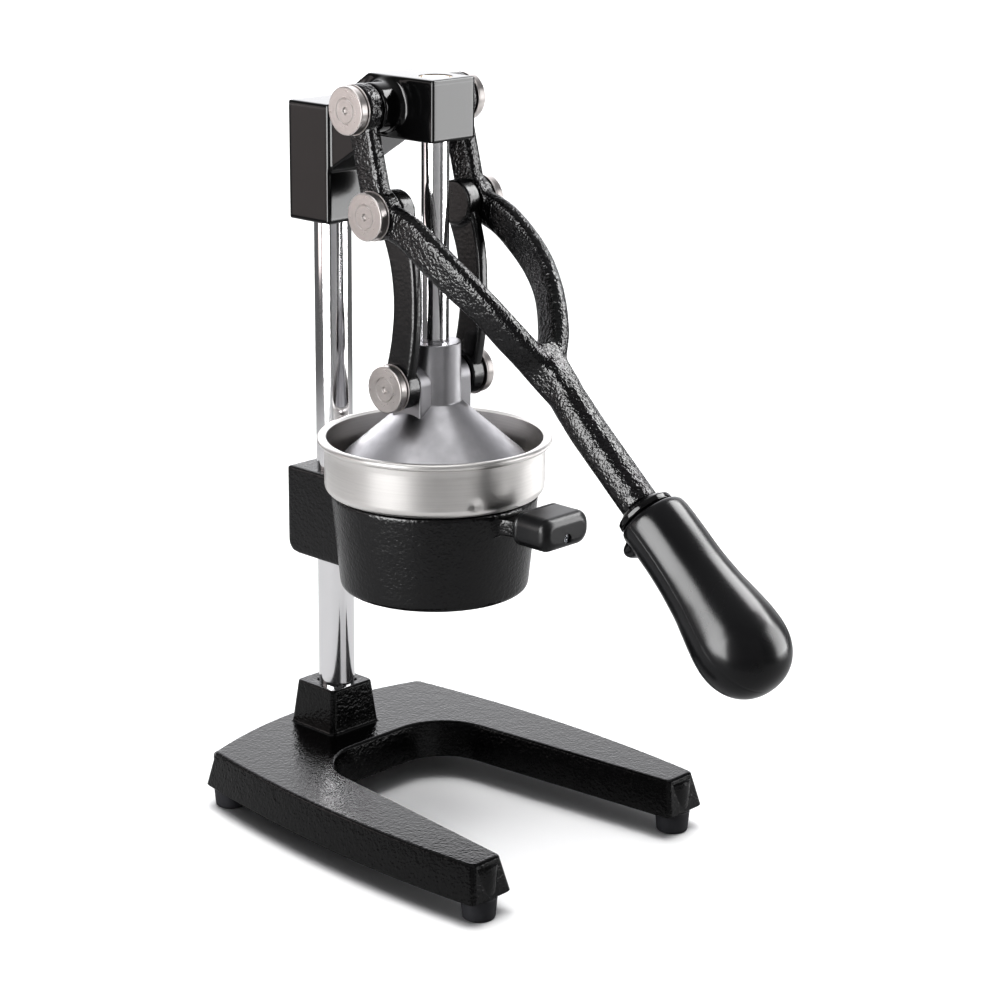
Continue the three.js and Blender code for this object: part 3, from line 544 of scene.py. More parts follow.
def brushed_steel():
    """Fine scratches around each piece's own axis."""
    f = Finish("brushed_stainless", (0.74, 0.725, 0.71), 0.34, metallic=1.0)
    f.bump(f.noise(0.35, vector=f.around(), stretch=(0.012, 1, 0.2), detail=3), 0.006)
    return f.done(f.noise(0.9, vector=f.around(), stretch=(0.02, 1, 0.3), detail=4), 0.07, 0.2)


def cast_aluminium():
    f = Finish("satin_aluminium", (0.46, 0.455, 0.47), 0.36, metallic=1.0)
    f.bump(f.noise(0.45, vector=f.around(), stretch=(0.02, 1, 1), detail=2), 0.008)
    f.bump(f.noise(1.1, detail=4), 0.02)
    return f.done(f.noise(7, detail=5), 0.12, 0.25)


def plain_metal(name, color, roughness):
    f = Finish(name, color, roughness, metallic=1.0)
    f.bump(f.noise(0.7, detail=3), 0.01)
    return f.done(f.noise(3, detail=4), 0.15, 0.25)


HAMMERED = hammered("hammered_enamel", 0.5, 1.3)
HAMMERED_BASE = hammered("rippled_enamel", 0.2, 1.35, 0.17)
HAMMERED_BOWL = hammered("fine_hammered_enamel", 0.22, 1.4, 0.24)
GLOSS = gloss_black()
SATIN = satin_black()
GRIP = grip_plastic("handle_phenolic", 0.25)
GRIP_SMALL = grip_plastic("bowl_grip_nylon", 0.33)
RUBBER = rubber()
CHROME = chrome()
TURNED = turned_steel()
BRUSHED = brushed_steel()
ALUMINIUM = cast_aluminium()
BRONZE = plain_metal("bush_bronze", (0.52, 0.43, 0.33), 0.35)
ZINC = plain_metal("zinc_plate", (0.55, 0.56, 0.58), 0.32)


# ---- base, feet and column
def base_outline(distance):
    """The U of the base, grown by a distance, with corners that keep their radius."""
    steps = 14
    right = []
    for i in range(steps + 1):
        t = i / steps
        x = LEG_TIP_OUTER + (REAR_CORNER[0] - LEG_TIP_OUTER) * t + SIDE_BULGE * 4 * t * (1 - t)
        right.append(Vector((x, LEG_TIP_Y + (REAR_CORNER[1] - LEG_TIP_Y) * t)))
    rear = []
    for i in range(1, steps):
        x = REAR_CORNER[0] * (1 - 2 * i / steps)
        y = REAR_MIDDLE_Y - (REAR_MIDDLE_Y - REAR_CORNER[1]) * (x / REAR_CORNER[0]) ** 2
        rear.append(Vector((x, y)))
    left = [Vector((-p.x, p.y)) for p in reversed(right)]
    bay = [Vector((-LEG_TIP_INNER, LEG_TIP_Y)), Vector((-BAY_CORNER[0], BAY_CORNER[1])),
           Vector(BAY_CORNER), Vector((LEG_TIP_INNER, LEG_TIP_Y))]
    points = grown(right + rear + left + bay, distance)
    count = len(points)
    sharp = {0, steps, len(right) + len(rear), len(right) + len(rear) + steps, count - 4, count - 1}
    radii = [BASE_CORNER if i in sharp else 0 for i in range(count)]
    radii[count - 3] = radii[count - 2] = BAY_RADIUS - distance
    return rounded([(p.x, p.y, r) for p, r in zip(points, radii)], 10)


def quarter(steps):
    """Angles from 0 to a right angle."""
    return [pi / 2 * k / steps for k in range(steps + 1)]


def base_shell():
    """The outer and inner walls under the deck, and the deck's eased edge."""
    lean = BASE_DRAFT / (BASE_TOP - BASE_BOTTOM)
    inside = BASE_DRAFT - BASE_WALL
    levels = [
        (base_outline(inside - 1), BASE_TOP - BASE_DECK),
        (base_outline(inside), BASE_BOTTOM + SKIRT_EDGE),
        (base_outline(inside + 0.6), BASE_BOTTOM),
        (base_outline(BASE_DRAFT - SKIRT_EDGE), BASE_BOTTOM),
        (base_outline(BASE_DRAFT - 0.1), BASE_BOTTOM + SKIRT_EDGE),
    ]
    for angle in quarter(6):
        drop = EDGE * (1 - sin(angle))
        levels.append((base_outline(lean * EDGE - EDGE * (1 - cos(angle))), BASE_TOP - drop))
    return upright(levels)


def base_ribs(deck):
    """The ribs under the rear of the deck and across each leg."""
    foot = BASE_BOTTOM + 2
    rear_ends, cross_ends, outer_wall = (48, 106), (22, 84), 92
    ribs = [block(x - RIB_HALF, x + RIB_HALF, *rear_ends, foot, deck) for x in REAR_RIBS_X]
    for y in LEG_RIBS_Y:
        share = (y - LEG_TIP_Y) / (BAY_CORNER[1] - LEG_TIP_Y)
        bay_wall = LEG_TIP_INNER + (BAY_CORNER[0] - LEG_TIP_INNER) * share
        for side in SIDES.values():
            near, far = sorted((side * (bay_wall + 1.5), side * outer_wall))
            ribs.append(block(near, far, y - RIB_HALF, y + RIB_HALF, foot, deck))
    for side in SIDES.values():
        near, far = sorted(side * x for x in cross_ends)
        ribs.append(block(near, far, CROSS_RIB_Y - RIB_HALF, CROSS_RIB_Y + RIB_HALF, foot, deck))
    return ribs


def base():
    inside_deck = BASE_TOP - 3
    parts = [base_shell(), *base_ribs(inside_deck)]
    bore = 2.4
    for node in FEET:
        spot = middle(node)
        boss = turned([(bore, BASE_BOTTOM), (FOOT_BOSS_RADIUS, BASE_BOTTOM), (FOOT_BOSS_RADIUS, inside_deck),
                       (bore, inside_deck)])
        parts.append(moved(boss, spot.x, spot.y - ROD_Y))
    inner, outer, bolt, roof = 14, 23, 5.3, 17
    well = turned([(inner, BASE_BOTTOM, 0.6), (outer, BASE_BOTTOM, 0.6), (outer, inside_deck),
                   (bolt, inside_deck), (bolt, roof), (inner, roof)])
    parts.append(moved(well, 0, COLUMN_Y))
    parts.append(pedestal())
    complete(object_of("base_casting_look", joined(*parts)), HAMMERED_BASE, "frame", ["base_casting"])


def pedestal():
    """A tapered block with a small hollow fillet at its foot, and a bore that is open around the column."""
    centre = Vector((0, COLUMN_Y))
    fillet, edge, chamfer = 2.2, 1.3, 0.4
    foot_corner, top_corner = 3.4, 3.0
    bore_bottom = 52
    levels = []
    for angle in quarter(5):
        half = PEDESTAL_BOTTOM_HALF + fillet * (1 - sin(angle))
        z = BASE_TOP - 0.3 + fillet * (1 - cos(angle))
        levels.append((square(half, PEDESTAL_Y, foot_corner), z))
    slope = (PEDESTAL_BOTTOM_HALF - PEDESTAL_TOP_HALF) / (PEDESTAL_TOP - BASE_TOP)
    for angle in quarter(5):
        half = PEDESTAL_TOP_HALF + slope * edge - edge * (1 - cos(angle))
        z = PEDESTAL_TOP - edge * (1 - sin(angle))
        levels.append((square(half, PEDESTAL_Y, top_corner), z))
    mouth = ((MOUTH_RADIUS + chamfer, PEDESTAL_TOP), (MOUTH_RADIUS, PEDESTAL_TOP - chamfer),
             (MOUTH_RADIUS, bore_bottom))
    for radius, z in mouth:
        levels.append(([centre + (p - centre).normalized() * radius for p in levels[-1][0]], z))
    return upright(levels)


def feet():
    top = high(FEET[0]).z
    screw, recess, recess_top = 2.3, 5, 6
    for node in FEET:
        spot = middle(node)
        turned_piece(node, [
            (screw, recess_top), (recess, recess_top), (recess, 0, 0.4), (8.8, 0, 1.2), (9.9, top, 0.6),
            (screw, top),
        ], RUBBER, "frame", Matrix.Translation((spot.x, spot.y - ROD_Y, 0)))


def column():
    radius = radius_of("column")
    bottom, top = low("column").z, high("column").z
    turned_piece("column", [(0, bottom), (radius, bottom, 1), (radius, top, 1), (0, top)],
                 CHROME, "frame", Matrix.Translation((0, COLUMN_Y, 0)), FINE)


# ---- head
def head():
    """A sloping beam in front of a square socket, with a boss on a round pad on each side."""
    buried_y = SOCKET_FRONT_Y + 4
    beam = plate([
        (HEAD_FRONT_Y, HEAD_FLOOR, 0), (GUSSET_TIP_Y, HEAD_FLOOR, 0), (buried_y, GUSSET_Z - 3.5, 0),
        (buried_y, SOCKET_TOP - 2.2, 0), (HEAD_SLOPE_Y, HEAD_TOP, 0), (HEAD_FRONT_Y, HEAD_TOP, 0),
    ], -HEAD_HALF, HEAD_HALF)
    socket = block(-SOCKET_HALF, SOCKET_HALF, SOCKET_FRONT_Y, SOCKET_BACK_Y, SOCKET_BOTTOM, SOCKET_TOP)
    pivot = pivot_of("head_pivot_disc_left")
    pad_face = HEAD_HALF + 0.4
    profile = [(0, 2), (PAD_RADIUS, 2), (PAD_RADIUS, pad_face), (15.8, pad_face), (14.6, HEAD_HALF + 1.4),
               (BOSS_RADIUS, HEAD_HALF + 3.2), (BOSS_RADIUS, HEAD_BOSS_OUTER), (0, HEAD_BOSS_OUTER)]
    bosses = [placed(turned(profile, FINE), Matrix.Translation((0, *pivot)) @ facing(side))
              for side in SIDES.values()]
    pads = cut(object_of("head_pads", joined(*bosses)),
               block(-50, 50, pivot[0] - 30, pivot[0] + 30, HEAD_FLOOR + 0.8, HEAD_TOP - 0.8), "INTERSECT")
    pad_shape = shape_of(pads)
    piece = cast("head_casting_look", [beam, socket, pad_shape], 0.8, 14)
    bore = 9.1
    below, above = HEAD_FLOOR - 5, HEAD_TOP + 5
    cut(piece, turned([(0, below), (bore, below), (bore, above), (0, above)]))
    for node in ("head_set_screw_lower", "head_set_screw_upper"):
        cut(piece, cross_hole(SOCKET_BACK_Y - 8, SOCKET_BACK_Y + 5, middle(node).z, SCREW_HOLE_RADIUS))
    complete(piece, GLOSS, "frame", ["head_casting"], flats=False)


def shape_of(piece):
    """Takes the mesh of a helper object back as a shape, and removes the object."""
    shape = [v.co / MM for v in piece.data.vertices], [tuple(p.vertices) for p in piece.data.polygons]
    bpy.data.objects.remove(piece)
    return shape


def cross_hole(y0, y1, z, radius):
    """A round cutter along Y."""
    body = turned([(0, 0), (radius, 0), (radius, y1 - y0), (0, y1 - y0)], 48)
    return placed(body, Matrix.Translation((0, y0, z)) @ Matrix.Rotation(-pi / 2, 4, "X"))


def bushes():
    bore, outside, edge = 7.7, 9, 0.3
    for node in ("rod_bush_lower", "rod_bush_upper"):
        bottom, top = low(node).z, high(node).z
        turned_piece(node, [(bore, bottom, edge), (outside, bottom, edge), (outside, top, edge),
                            (bore, top, edge)], BRONZE, "frame")


# ---- pivots
def pivot_of(node):
    """The (y, z) of a round node's axis, y from the rod."""
    centre = middle(node)
    return centre.y - ROD_Y, centre.z


DISC = 4.8  # thickness
DISC_PROFILE = [  # a shank, a rim, a groove and a small dished centre
    (0, -9), (3, -9), (3, 0), (12.6, 0, 0.2), (12.9, 0.5, 0.2), (12.9, DISC, 0.75), (7.0, DISC, 0.1),
    (6.7, 4.45, 0.1), (6.3, 4.45, 0.1), (6.0, DISC, 0.1), (1.9, DISC, 0.25), (1.5, 3.9, 0.2), (0, 3.6),
]
WASHER = 0.9
WASHER_PROFILE = [(5.3, 0), (13.4, 0, 0.25), (13.4, WASHER, 0.25), (5.3, WASHER)]


def pivots():
    """The caps and washers at the ends of each pivot, their outer faces level with the CAD."""
    for joint, body in (("head_pivot", "frame"), ("elbow", "handle"), ("ram", "ram")):
        for name, side in SIDES.items():
            for kind, profile, thick in (("disc", DISC_PROFILE, DISC), ("washer", WASHER_PROFILE, WASHER)):
                node = f"{joint}_{kind}_{name}"
                inner = max(abs(low(node).x), abs(high(node).x)) - thick
                place = Matrix.Translation((side * inner, *pivot_of(node))) @ facing(side)
                turned_piece(node, profile, TURNED, body, place, FINE)


# ---- handle
SHAFT_ALONG = Vector((0, -cos(SHAFT_ANGLE), -sin(SHAFT_ANGLE)))
ARM_BENDS = [  # x, y, z, width and thickness of each arm below the elbow
    (35.2, -14.8, 343.7, 20, 9.2), (34.8, -29.5, 334.7, 20.5, 9.4), (31.8, -45.8, 322.7, 20.3, 9.4),
    (25.2, -60.5, 309.2, 19.3, 10), (15.6, -72.7, 292.5, 19.8, 10.6), (5, -81.5, 277.6, 20.2, 10.4),
    (3.4, -96, 265, 17.5, 8.8), (2, -108, 253.8, 13.5, 6.5),
]
FORK_WEB = [(0, -76.5, 286.9, 14, 14), (0, -82, 280, 17.5, 15), (0, -91, 269.5, 18.5, 16)]
SHAFT_ROOT = [(0, -80, 281.5, 17, 9), (0, -89, 271.4, 19, 14.5), (0, -100, 260.6, 19.9, 18.8)]
SHAFT_WIDTH, SHAFT_THICKNESS = 20.2, 19.7
STRAIGHT_PART = 50  # of the shaft, before its end
RING_HALF = 3.35
NEARLY_ROUND = 0.47  # corner radius over thickness


def shaft_end():
    """Where the handle's casting ends and its ring begins."""
    ring = middle("handle_ring") - Vector((0, ROD_Y, 0))
    return ring - SHAFT_ALONG * RING_HALF


def along_shaft():
    """Z along the shaft, X across it, from the end of the casting."""
    up = SHAFT_ALONG.cross(Vector((1, 0, 0)))
    turn = Matrix((Vector((1, 0, 0)), up, SHAFT_ALONG)).transposed().to_4x4()
    return Matrix.Translation(shaft_end()) @ turn


def yoke():
    head_pivot, elbow = pivot_of("head_pivot_disc_left"), pivot_of("elbow_disc_left")
    centre = (YOKE_INNER + YOKE_OUTER) / 2
    upper_width, arm_width, thick = 17, 19, 9.4
    parts = []
    for side in SIDES.values():
        for pivot in (head_pivot, elbow):
            parts.append(eye(side, YOKE_INNER, YOKE_OUTER, pivot, EYE_RADIUS, 1.2))
        upper = [(side * centre, *pivot, upper_width, thick) for pivot in (head_pivot, elbow)]
        parts.append(bar(upper, 0.3))
        knots = [(centre, *elbow, arm_width, thick), *ARM_BENDS]
        stations = through([(side * x, y, z, w, t) for x, y, z, w, t in knots], 48)
        parts.append(bar(stations, NEARLY_ROUND))
    end = shaft_end()
    neck = end - SHAFT_ALONG * STRAIGHT_PART
    parts.append(bar(FORK_WEB, 0.25))
    straight = [(*spot, SHAFT_WIDTH, SHAFT_THICKNESS) for spot in (neck, end)]
    parts.append(bar(SHAFT_ROOT + straight, NEARLY_ROUND))
    piece = cast("handle_yoke_look", parts, 0.8, 16)
    complete(piece, HAMMERED, "handle", ["handle_yoke"], flats=False)


GRIP_LENGTH = 109.6
GRIP_END_FULLNESS = 2.2  # 2 is an ellipse
GRIP_START = 6.7  # beyond the end of the casting
GRIP_SIDES = 160
MOULD_LINE = 0.25  # depth of the groove where the mould's halves met
RING_PROFILE = [
    (5.3, 0.3), (11.8, 0.3, 0.5), (13.0, 1.4, 0.8), (15.4, 2.6, 1.5), (15.5, 6.1, 1.2), (5.3, 6.4),
]
GRIP_PROFILE = [  # distance, radius and rise of the middle above the shaft's axis
    (0, 15, 1.0), (0.6, 16.3, 1.2), (2, 17.5, 1.5), (5, 18.2, 1.9), (12, 18.4, 2.3), (24, 18.5, 2.4),
    (35, 18.8, 2.1), (43, 19.4, 1.9), (53, 20.5, 1.7), (61, 21.9, 1.4), (69, 23.3, 1.1), (76, 24.3, 0.8),
    (82, 24.65, 0.6),
]
GRIP_END_RISE = 0.6
STOP = {"centre": -16.0, "along": 7.8, "half": (12.0, 9.4, 5.6)}  # the swelling under the grip's start


def stop_reach(angle, s):
    """How far the finger stop reaches from the grip's axis, or 0 beside it."""
    wide, deep, long = STOP["half"]
    centre = STOP["centre"]
    a = (cos(angle) / wide) ** 2 + (sin(angle) / deep) ** 2
    b = -2 * centre * sin(angle) / deep ** 2
    c = (centre / deep) ** 2 + ((s - STOP["along"]) / long) ** 2 - 1
    inside = b * b - 4 * a * c
    return (-b + sqrt(inside)) / (2 * a) if inside > 0 else 0.0


def blended_most(a, b, softness):
    """The larger of two lengths, with a smooth change between them."""
    gap = max(softness - abs(a - b), 0) / softness
    return max(a, b) + gap * gap * softness / 4


def grip_rows():
    """The rows of the grip's profile, and more for its round end."""
    rows = through(GRIP_PROFILE, 78)
    cap_from, cap_radius, cap_rise = rows[-1]
    for angle in quarter(24)[1:]:
        share = sin(angle)
        radius = cap_radius * (1 - share ** GRIP_END_FULLNESS) ** (1 / GRIP_END_FULLNESS)
        rise = cap_rise + (GRIP_END_RISE - cap_rise) * share ** 2
        rows.append((cap_from + (GRIP_LENGTH - cap_from) * share, radius, rise))
    return rows


def grip_point(s, r, rise, angle):
    """A point of the grip's skin, s along it. The first two millimetres have no finger stop."""
    line_half = 0.5
    seam = MOULD_LINE * exp(-(sin(angle) * r / line_half) ** 2) if s > 1 else 0
    reach = blended_most(r, stop_reach(angle, s), 2.5) - seam if s > 2 else r - seam
    return Vector((reach * cos(angle), rise + reach * sin(angle), GRIP_START + s))


def grip():
    """A pear-shaped grip with a finger stop under its start and a mould line on each side."""
    place = along_shaft()
    ring = placed(turned(RING_PROFILE, FINE), place)
    complete(object_of("handle_ring_look", ring), GLOSS, "handle", ["handle_ring"])
    rows = grip_rows()
    sides = GRIP_SIDES
    points, faces = [Vector((0, rows[0][2], GRIP_START))], []
    for row in rows[:-1]:
        points.extend(grip_point(*row, tau * i / sides) for i in range(sides))
    points.append(Vector((0, GRIP_END_RISE, GRIP_START + GRIP_LENGTH)))
    last = 1 + (len(rows) - 2) * sides
    for i in range(sides):
        j = (i + 1) % sides
        faces.append((0, 1 + j, 1 + i))
        for a in range(1, last, sides):
            faces.append((a + i, a + j, a + sides + j, a + sides + i))
        faces.append((last + i, last + j, len(points) - 1))
    piece = object_of("handle_grip_look", placed((points, faces), place))
    complete(piece, GRIP, "handle", ["handle_grip"], flats=False)


# ---- links
LINK_BENDS = [  # y, share of the height, width, thickness
    (-2, 0.75, 18.5, 6.6), (-4.6, 0.5, 17, 6.4), (-3, 0.25, 17.8, 6.6),
]


def links():
    elbow, foot = pivot_of("elbow_disc_left"), pivot_of("ram_disc_left")
    rise = elbow[1] - foot[1]
    bends = [(y, foot[1] + rise * share, wide, thick) for y, share, wide, thick in LINK_BENDS]
    knots = [(*elbow, 20, 7), *bends, (*foot, 19, 7)]
    for name, side in SIDES.items():
        parts = [bar(through([(side * LINK_MIDDLE, *knot) for knot in knots], 32), 0.3)]
        for pivot in (elbow, foot):
            parts.append(eye(side, LINK_INNER, LINK_OUTER, pivot, LINK_EYE_RADIUS, 0.9))
        piece = cast(f"link_{name}_look", parts, 0.7, 4)
        complete(piece, SATIN, f"link_{name}", [f"link_{name}"], flats=False)


# ---- ram and guide rod
def ram():
    """A thin cone under a collar for the rod, and a lug on each side."""
    y, z = pivot_of("ram_disc_left")
    bottom, top = low("ram").z, high("ram").z
    radius = radius_of("ram")
    screw, bore, collar = 3.3, 7.7, 14.4
    ceiling, bore_floor = 243.5, 250
    body = turned([
        (screw, ceiling), (screw, bore_floor), (bore, bore_floor), (bore, top, 0.4), (collar, top, 0.7),
        (collar, 244.9, 1.6), (radius - 2.4, 214.4, 2.2), (radius, 211, 1.5), (radius, bottom, 1.2),
        (47, bottom, 0.8), (9, 241.5, 1), (7.6, ceiling),
    ], 160)
    complete(object_of("ram_look", body), ALUMINIUM, "ram", ["ram"])
    arch = []
    for k in range(25):
        angle = pi * k / 24
        arch.append((y + LUG_RADIUS * cos(angle), z + LUG_RADIUS * sin(angle), 0))
    outline = [(y + LUG_RADIUS, LUG_FOOT, 0), *arch, (y - LUG_RADIUS, LUG_FOOT, 0)]
    lugs = [plate(outline, *sorted((side * LUG_INNER, side * LUG_OUTER))) for side in SIDES.values()]
    piece = eased(object_of("ram_lugs", joined(*lugs)), 0.9, 3, 40)
    complete(piece, ALUMINIUM, "ram", ["ram"])


def guide_rod():
    bottom, top = low("guide_rod").z, high("guide_rod").z
    radius = radius_of("guide_rod")
    hole, hole_top = 3.3, 270
    turned_piece("guide_rod", [
        (0, hole_top), (hole, hole_top), (hole, bottom), (radius, bottom), (radius, top, 0.8), (0, top),
    ], CHROME, "ram")


# ---- strainer
DIMPLE = Vector((-25.0, -55.6, 200.5))  # a small pressed mark low on the cup's wall
DIMPLE_REACH = 2.8
DIMPLE_DEPTH = 1.1
SEAT_RADIUS = 45.6  # of the opening in the cup's floor
SLOT_ROWS = [  # slots around, inner and outer radius, shift
    (8, 12.4, 19.6, 0.0), (12, 23.4, 30.6, 0.5), (16, 34.4, 41.6, 0.0),
]
SLOT_HALF = 1.3


def strainer_cup():
    bead = 2.1
    bead_x, bead_z = CUP_RIM_RADIUS - bead, CUP_RIM_TOP - bead
    wall = CUP_WALL_RADIUS
    profile = [(wall - SHEET, bead_z + 0.9)]
    for k in range(13):
        angle = pi * (0.86 - 1.76 * k / 12)
        profile.append((bead_x + bead * cos(angle), bead_z + bead * sin(angle)))
    profile += [(wall + 0.2, bead_z - 2.3, 0.5)]
    for z in range(218, 199, -1):
        profile.append((wall, z))
    profile += [
        (wall, 199), (wall, CUP_SHOULDER, 4.5), (CUP_LOWER_RADIUS, CUP_SHOULDER, 0.8),
        (CUP_LOWER_RADIUS - 0.6, CUP_FLOOR, 2), (SEAT_RADIUS, CUP_FLOOR, 0.4),
        (SEAT_RADIUS, CUP_FLOOR + SHEET, 0.4),
        (CUP_LOWER_RADIUS - SHEET - 0.6, CUP_FLOOR + SHEET, 1.2),
        (CUP_LOWER_RADIUS - SHEET, CUP_SHOULDER + SHEET, 1), (wall - SHEET, CUP_SHOULDER + SHEET, 3.3),
        (wall - SHEET, 210),
    ]
    points, faces = turned(profile, 256)
    for p in points:
        if p.x ** 2 + p.y ** 2 > (wall - 0.5) ** 2:
            reach = (p - DIMPLE).length / DIMPLE_REACH
            push = DIMPLE_DEPTH * exp(-reach ** 2)
            p.x -= p.x / wall * push
            p.y -= p.y / wall * push
    complete(object_of("strainer_cup_look", (points, faces)), BRUSHED, "strainer", ["strainer_cup"])


def in_a_slot(r, turn):
    """Whether a slot of the cone is open at this radius and this share of a turn."""
    for count, near, far, shift in SLOT_ROWS:
        offset = (turn * count - shift + 0.5) % 1 - 0.5
        if near < r < far and abs(offset) / count * tau * r < SLOT_HALF:
            return True
    return False


def strainer_cone():
    """A sheet cone with three rows of slots, over the bowl's outlet."""
    seat = low("strainer_cone").z
    peak = high("strainer_cone").z
    line = [(49, seat + 0.2), (46.5, seat + 0.1), (44.6, seat + 0.8)]
    steps, foot, top = 44, 44, 5
    for k in range(1, steps + 1):
        t = k / steps
        line.append((foot - (foot - top) * t, seat + SHEET + (peak - seat - 3.4) * t))
    line += [(3.6, peak - 1.6), (1.8, peak - 1.3)]
    sides = 144
    work = bmesh.new()
    rings = []
    for r, z in line:
        angles = [tau * i / sides for i in range(sides)]
        rings.append([work.verts.new((r * MM * cos(a), r * MM * sin(a), z * MM)) for a in angles])
    peak_point = work.verts.new((0, 0, (peak - 1.2) * MM))
    for k in range(len(line) - 1):
        r = (line[k][0] + line[k + 1][0]) / 2
        for i in range(sides):
            if not in_a_slot(r, (i + 0.5) / sides):
                j = (i + 1) % sides
                work.faces.new((rings[k][i], rings[k][j], rings[k + 1][j], rings[k + 1][i]))
    for i in range(sides):
        work.faces.new((rings[-1][i], rings[-1][(i + 1) % sides], peak_point))
    mesh = bpy.data.meshes.new("strainer_cone_look")
    loose = [v for v in work.verts if not v.link_faces]
    bmesh.ops.delete(work, geom=loose, context="VERTS")
    work.to_mesh(mesh)
    work.free()
    piece = linked("strainer_cone_look", mesh, Matrix.Translation((0, ROD_Y * MM, 0)))
    thicken = piece.modifiers.new("sheet", "SOLIDIFY")
    thicken.thickness = SHEET * MM * 0.8
    thicken.offset = 1
    applied(piece)
    complete(piece, BRUSHED, "strainer", ["strainer_cone"], flats=False)


# ---- bowl and its grip
def bowl_radius(z):
    share = (z - BOWL_BOTTOM) / (BOWL_TOP - BOWL_BOTTOM)
    return BOWL_BOTTOM_RADIUS + (BOWL_TOP_RADIUS - BOWL_BOTTOM_RADIUS) * share


def bracket_outline(z):
    """The bracket seen from above: hollow fillets from the bowl's wall, then straight sides."""
    wall = bowl_radius(z)
    centre = Vector((BRACKET_HALF + BRACKET_FILLET, 0))
    centre.y = sqrt((wall + BRACKET_FILLET) ** 2 - centre.x ** 2)
    start = atan2(-centre.y, -centre.x)
    fillet = []
    for k in range(10):
        angle = start + (-pi - start) * k / 9
        fillet.append(centre + Vector((cos(angle), sin(angle))) * BRACKET_FILLET)
    inside = Vector((fillet[0].x - 1, (wall - BOWL_WALL / 2) * 0.87))
    right = [inside, *fillet, Vector((BRACKET_HALF, BRACKET_BACK_Y))]
    return right + [Vector((-p.x, p.y)) for p in reversed(right)]


TANG_HEIGHTS = (181.5, 191.0)
TANG = [(7, -84), (7, -66), (7.6, -62), (9.5, -58.5), (12, -56), (12, -53.8)]  # half width, y


def bowl():
    shell = turned([
        (OUTLET_RADIUS, BOWL_BOTTOM - 5, 0.8), (OUTLET_RADIUS + 3, BOWL_BOTTOM - 5, 0.8),
        (OUTLET_RADIUS + 3, BOWL_BOTTOM, 1.5), (BOWL_BOTTOM_RADIUS - 0.2, BOWL_BOTTOM, 3.6),
        (BOWL_TOP_RADIUS, BOWL_TOP, 0.8), (BOWL_TOP_RADIUS - BOWL_WALL, BOWL_TOP, 0.8),
        (BOWL_BOTTOM_RADIUS - BOWL_WALL, BOWL_BOTTOM + 9, 5), (OUTLET_RADIUS, BOWL_BOTTOM + 5, 1),
    ], FINE)
    heights = [BRACKET_BOTTOM + (BRACKET_TOP - BRACKET_BOTTOM) * k / 6 for k in range(7)]
    bracket = object_of("bowl_bracket_tool", upright([(bracket_outline(z), z) for z in heights]))
    back = BRACKET_BACK_Y
    cut(bracket, plate([(20, BRACKET_BOTTOM, 0), (back, BRACKET_BOTTOM, 7), (back, BRACKET_TOP, 1.5),
                        (20, BRACKET_TOP, 0)], -60, 60), "INTERSECT")
    cut(bracket, cross_hole(back - 6, back + 5, middle("bowl_set_screw").z, SCREW_HOLE_RADIUS))
    solid = shape_of(bracket)
    under, over = TANG_HEIGHTS
    tang = loft([[(-w, y, under), (w, y, under), (w, y, over), (-w, y, over)] for w, y in TANG])
    piece = cast("bowl_casting_look", [shell, solid, tang], 1.0, 5)
    complete(piece, HAMMERED_BOWL, "frame", ["bowl_casting"], flats=False)


def bowl_grip():
    """A rounded bar across the tang, split near its back, with a deep screw hole in its front."""
    lo, hi = low("bowl_grip"), high("bowl_grip")
    half, height = (hi.x - lo.x) / 2, (hi.z - lo.z) / 2
    z = (hi.z + lo.z) / 2
    front, back = lo.y - ROD_Y, hi.y - ROD_Y

    front_edge, back_edge, corner, groove = 5.0, 1.4, 6.6, 0.45

    def section(inset, y):
        w, h = half - inset, height - inset
        r = min(corner, h - 0.3)
        outline = rounded([(w, -h, r), (w, h, r), (-w, h, r), (-w, -h, r)], 8)
        return [(p.x, y, z + p.y) for p in outline]

    rings = []
    for angle in quarter(10):
        inset, y = front_edge * (1 - sin(angle)), front + front_edge * (1 - cos(angle))
        rings.append(section(inset, y))
    seam = back - 3
    for inset, shift in ((0, -0.5), (groove, -0.2), (groove, 0.2), (0, 0.5)):
        rings.append(section(inset, seam + shift))
    for angle in quarter(5):
        inset, y = back_edge * (1 - cos(angle)), back - back_edge * (1 - sin(angle))
        rings.append(section(inset, y))
    piece = object_of("bowl_grip_look", loft(rings))
    screw_z = middle("bowl_grip_screw").z
    cut(piece, cross_hole(front - 2, front + 4.5, screw_z, 2.7))
    complete(piece, GRIP_SMALL, "frame", ["bowl_grip"])


def fasteners():
    """The plain CAD pieces that stay: screws, pins, the column's bolt and the stud."""
    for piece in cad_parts.values():
        if not piece.hide_render:
            piece.data.materials.clear()
            piece.data.materials.append(ZINC)


base()
feet()
column()
head()
bushes()
pivots()
yoke()
grip()
links()
ram()
guide_rod()
strainer_cup()
strainer_cone()
bowl()
bowl_grip()
fasteners()


# ---- studio
FLOOR_REACH = 6000
FLOOR_HEIGHT = -0.05
TABLE_REACH = 3000
TABLE_HEIGHT = -0.02
# painted light: the reflected table is painted pale near the middle and fades to painted shade between these
# radii
TABLE_SHADE_FADE = (0.75, 1.1)  # metres from the middle
WALL_NEAR, WALL_FAR, WALL_BOTTOM, WALL_TOP = 5800, 5900, -1, 5000
CARD_DISTANCE = 500
CARD_FROM, CARD_TO = -130, 420
CARD_HEIGHT = 520
LEFT, RIGHT_FRONT, REAR_LEFT = (-897, 78, 420), (560, -600, 430), (-690, 720, 325)
WARM = (1, 0.9, 0.88)
ROOM = (0.22, 0.22, 0.225, 1)
ROOM_PATCHES = [  # direction, cosine where it starts, colour
    ((0.6, 0.78, 0.3), 0.5, (1.4, 1.4, 1.43, 1)), ((0, 0, 1), 0.6, (0.5, 0.5, 0.505, 1)),
]
LENS = 90.35
LENS_SHIFT = 0.0229
CAMERA_FORWARD = (0.69106, 0.66414, -0.28523)
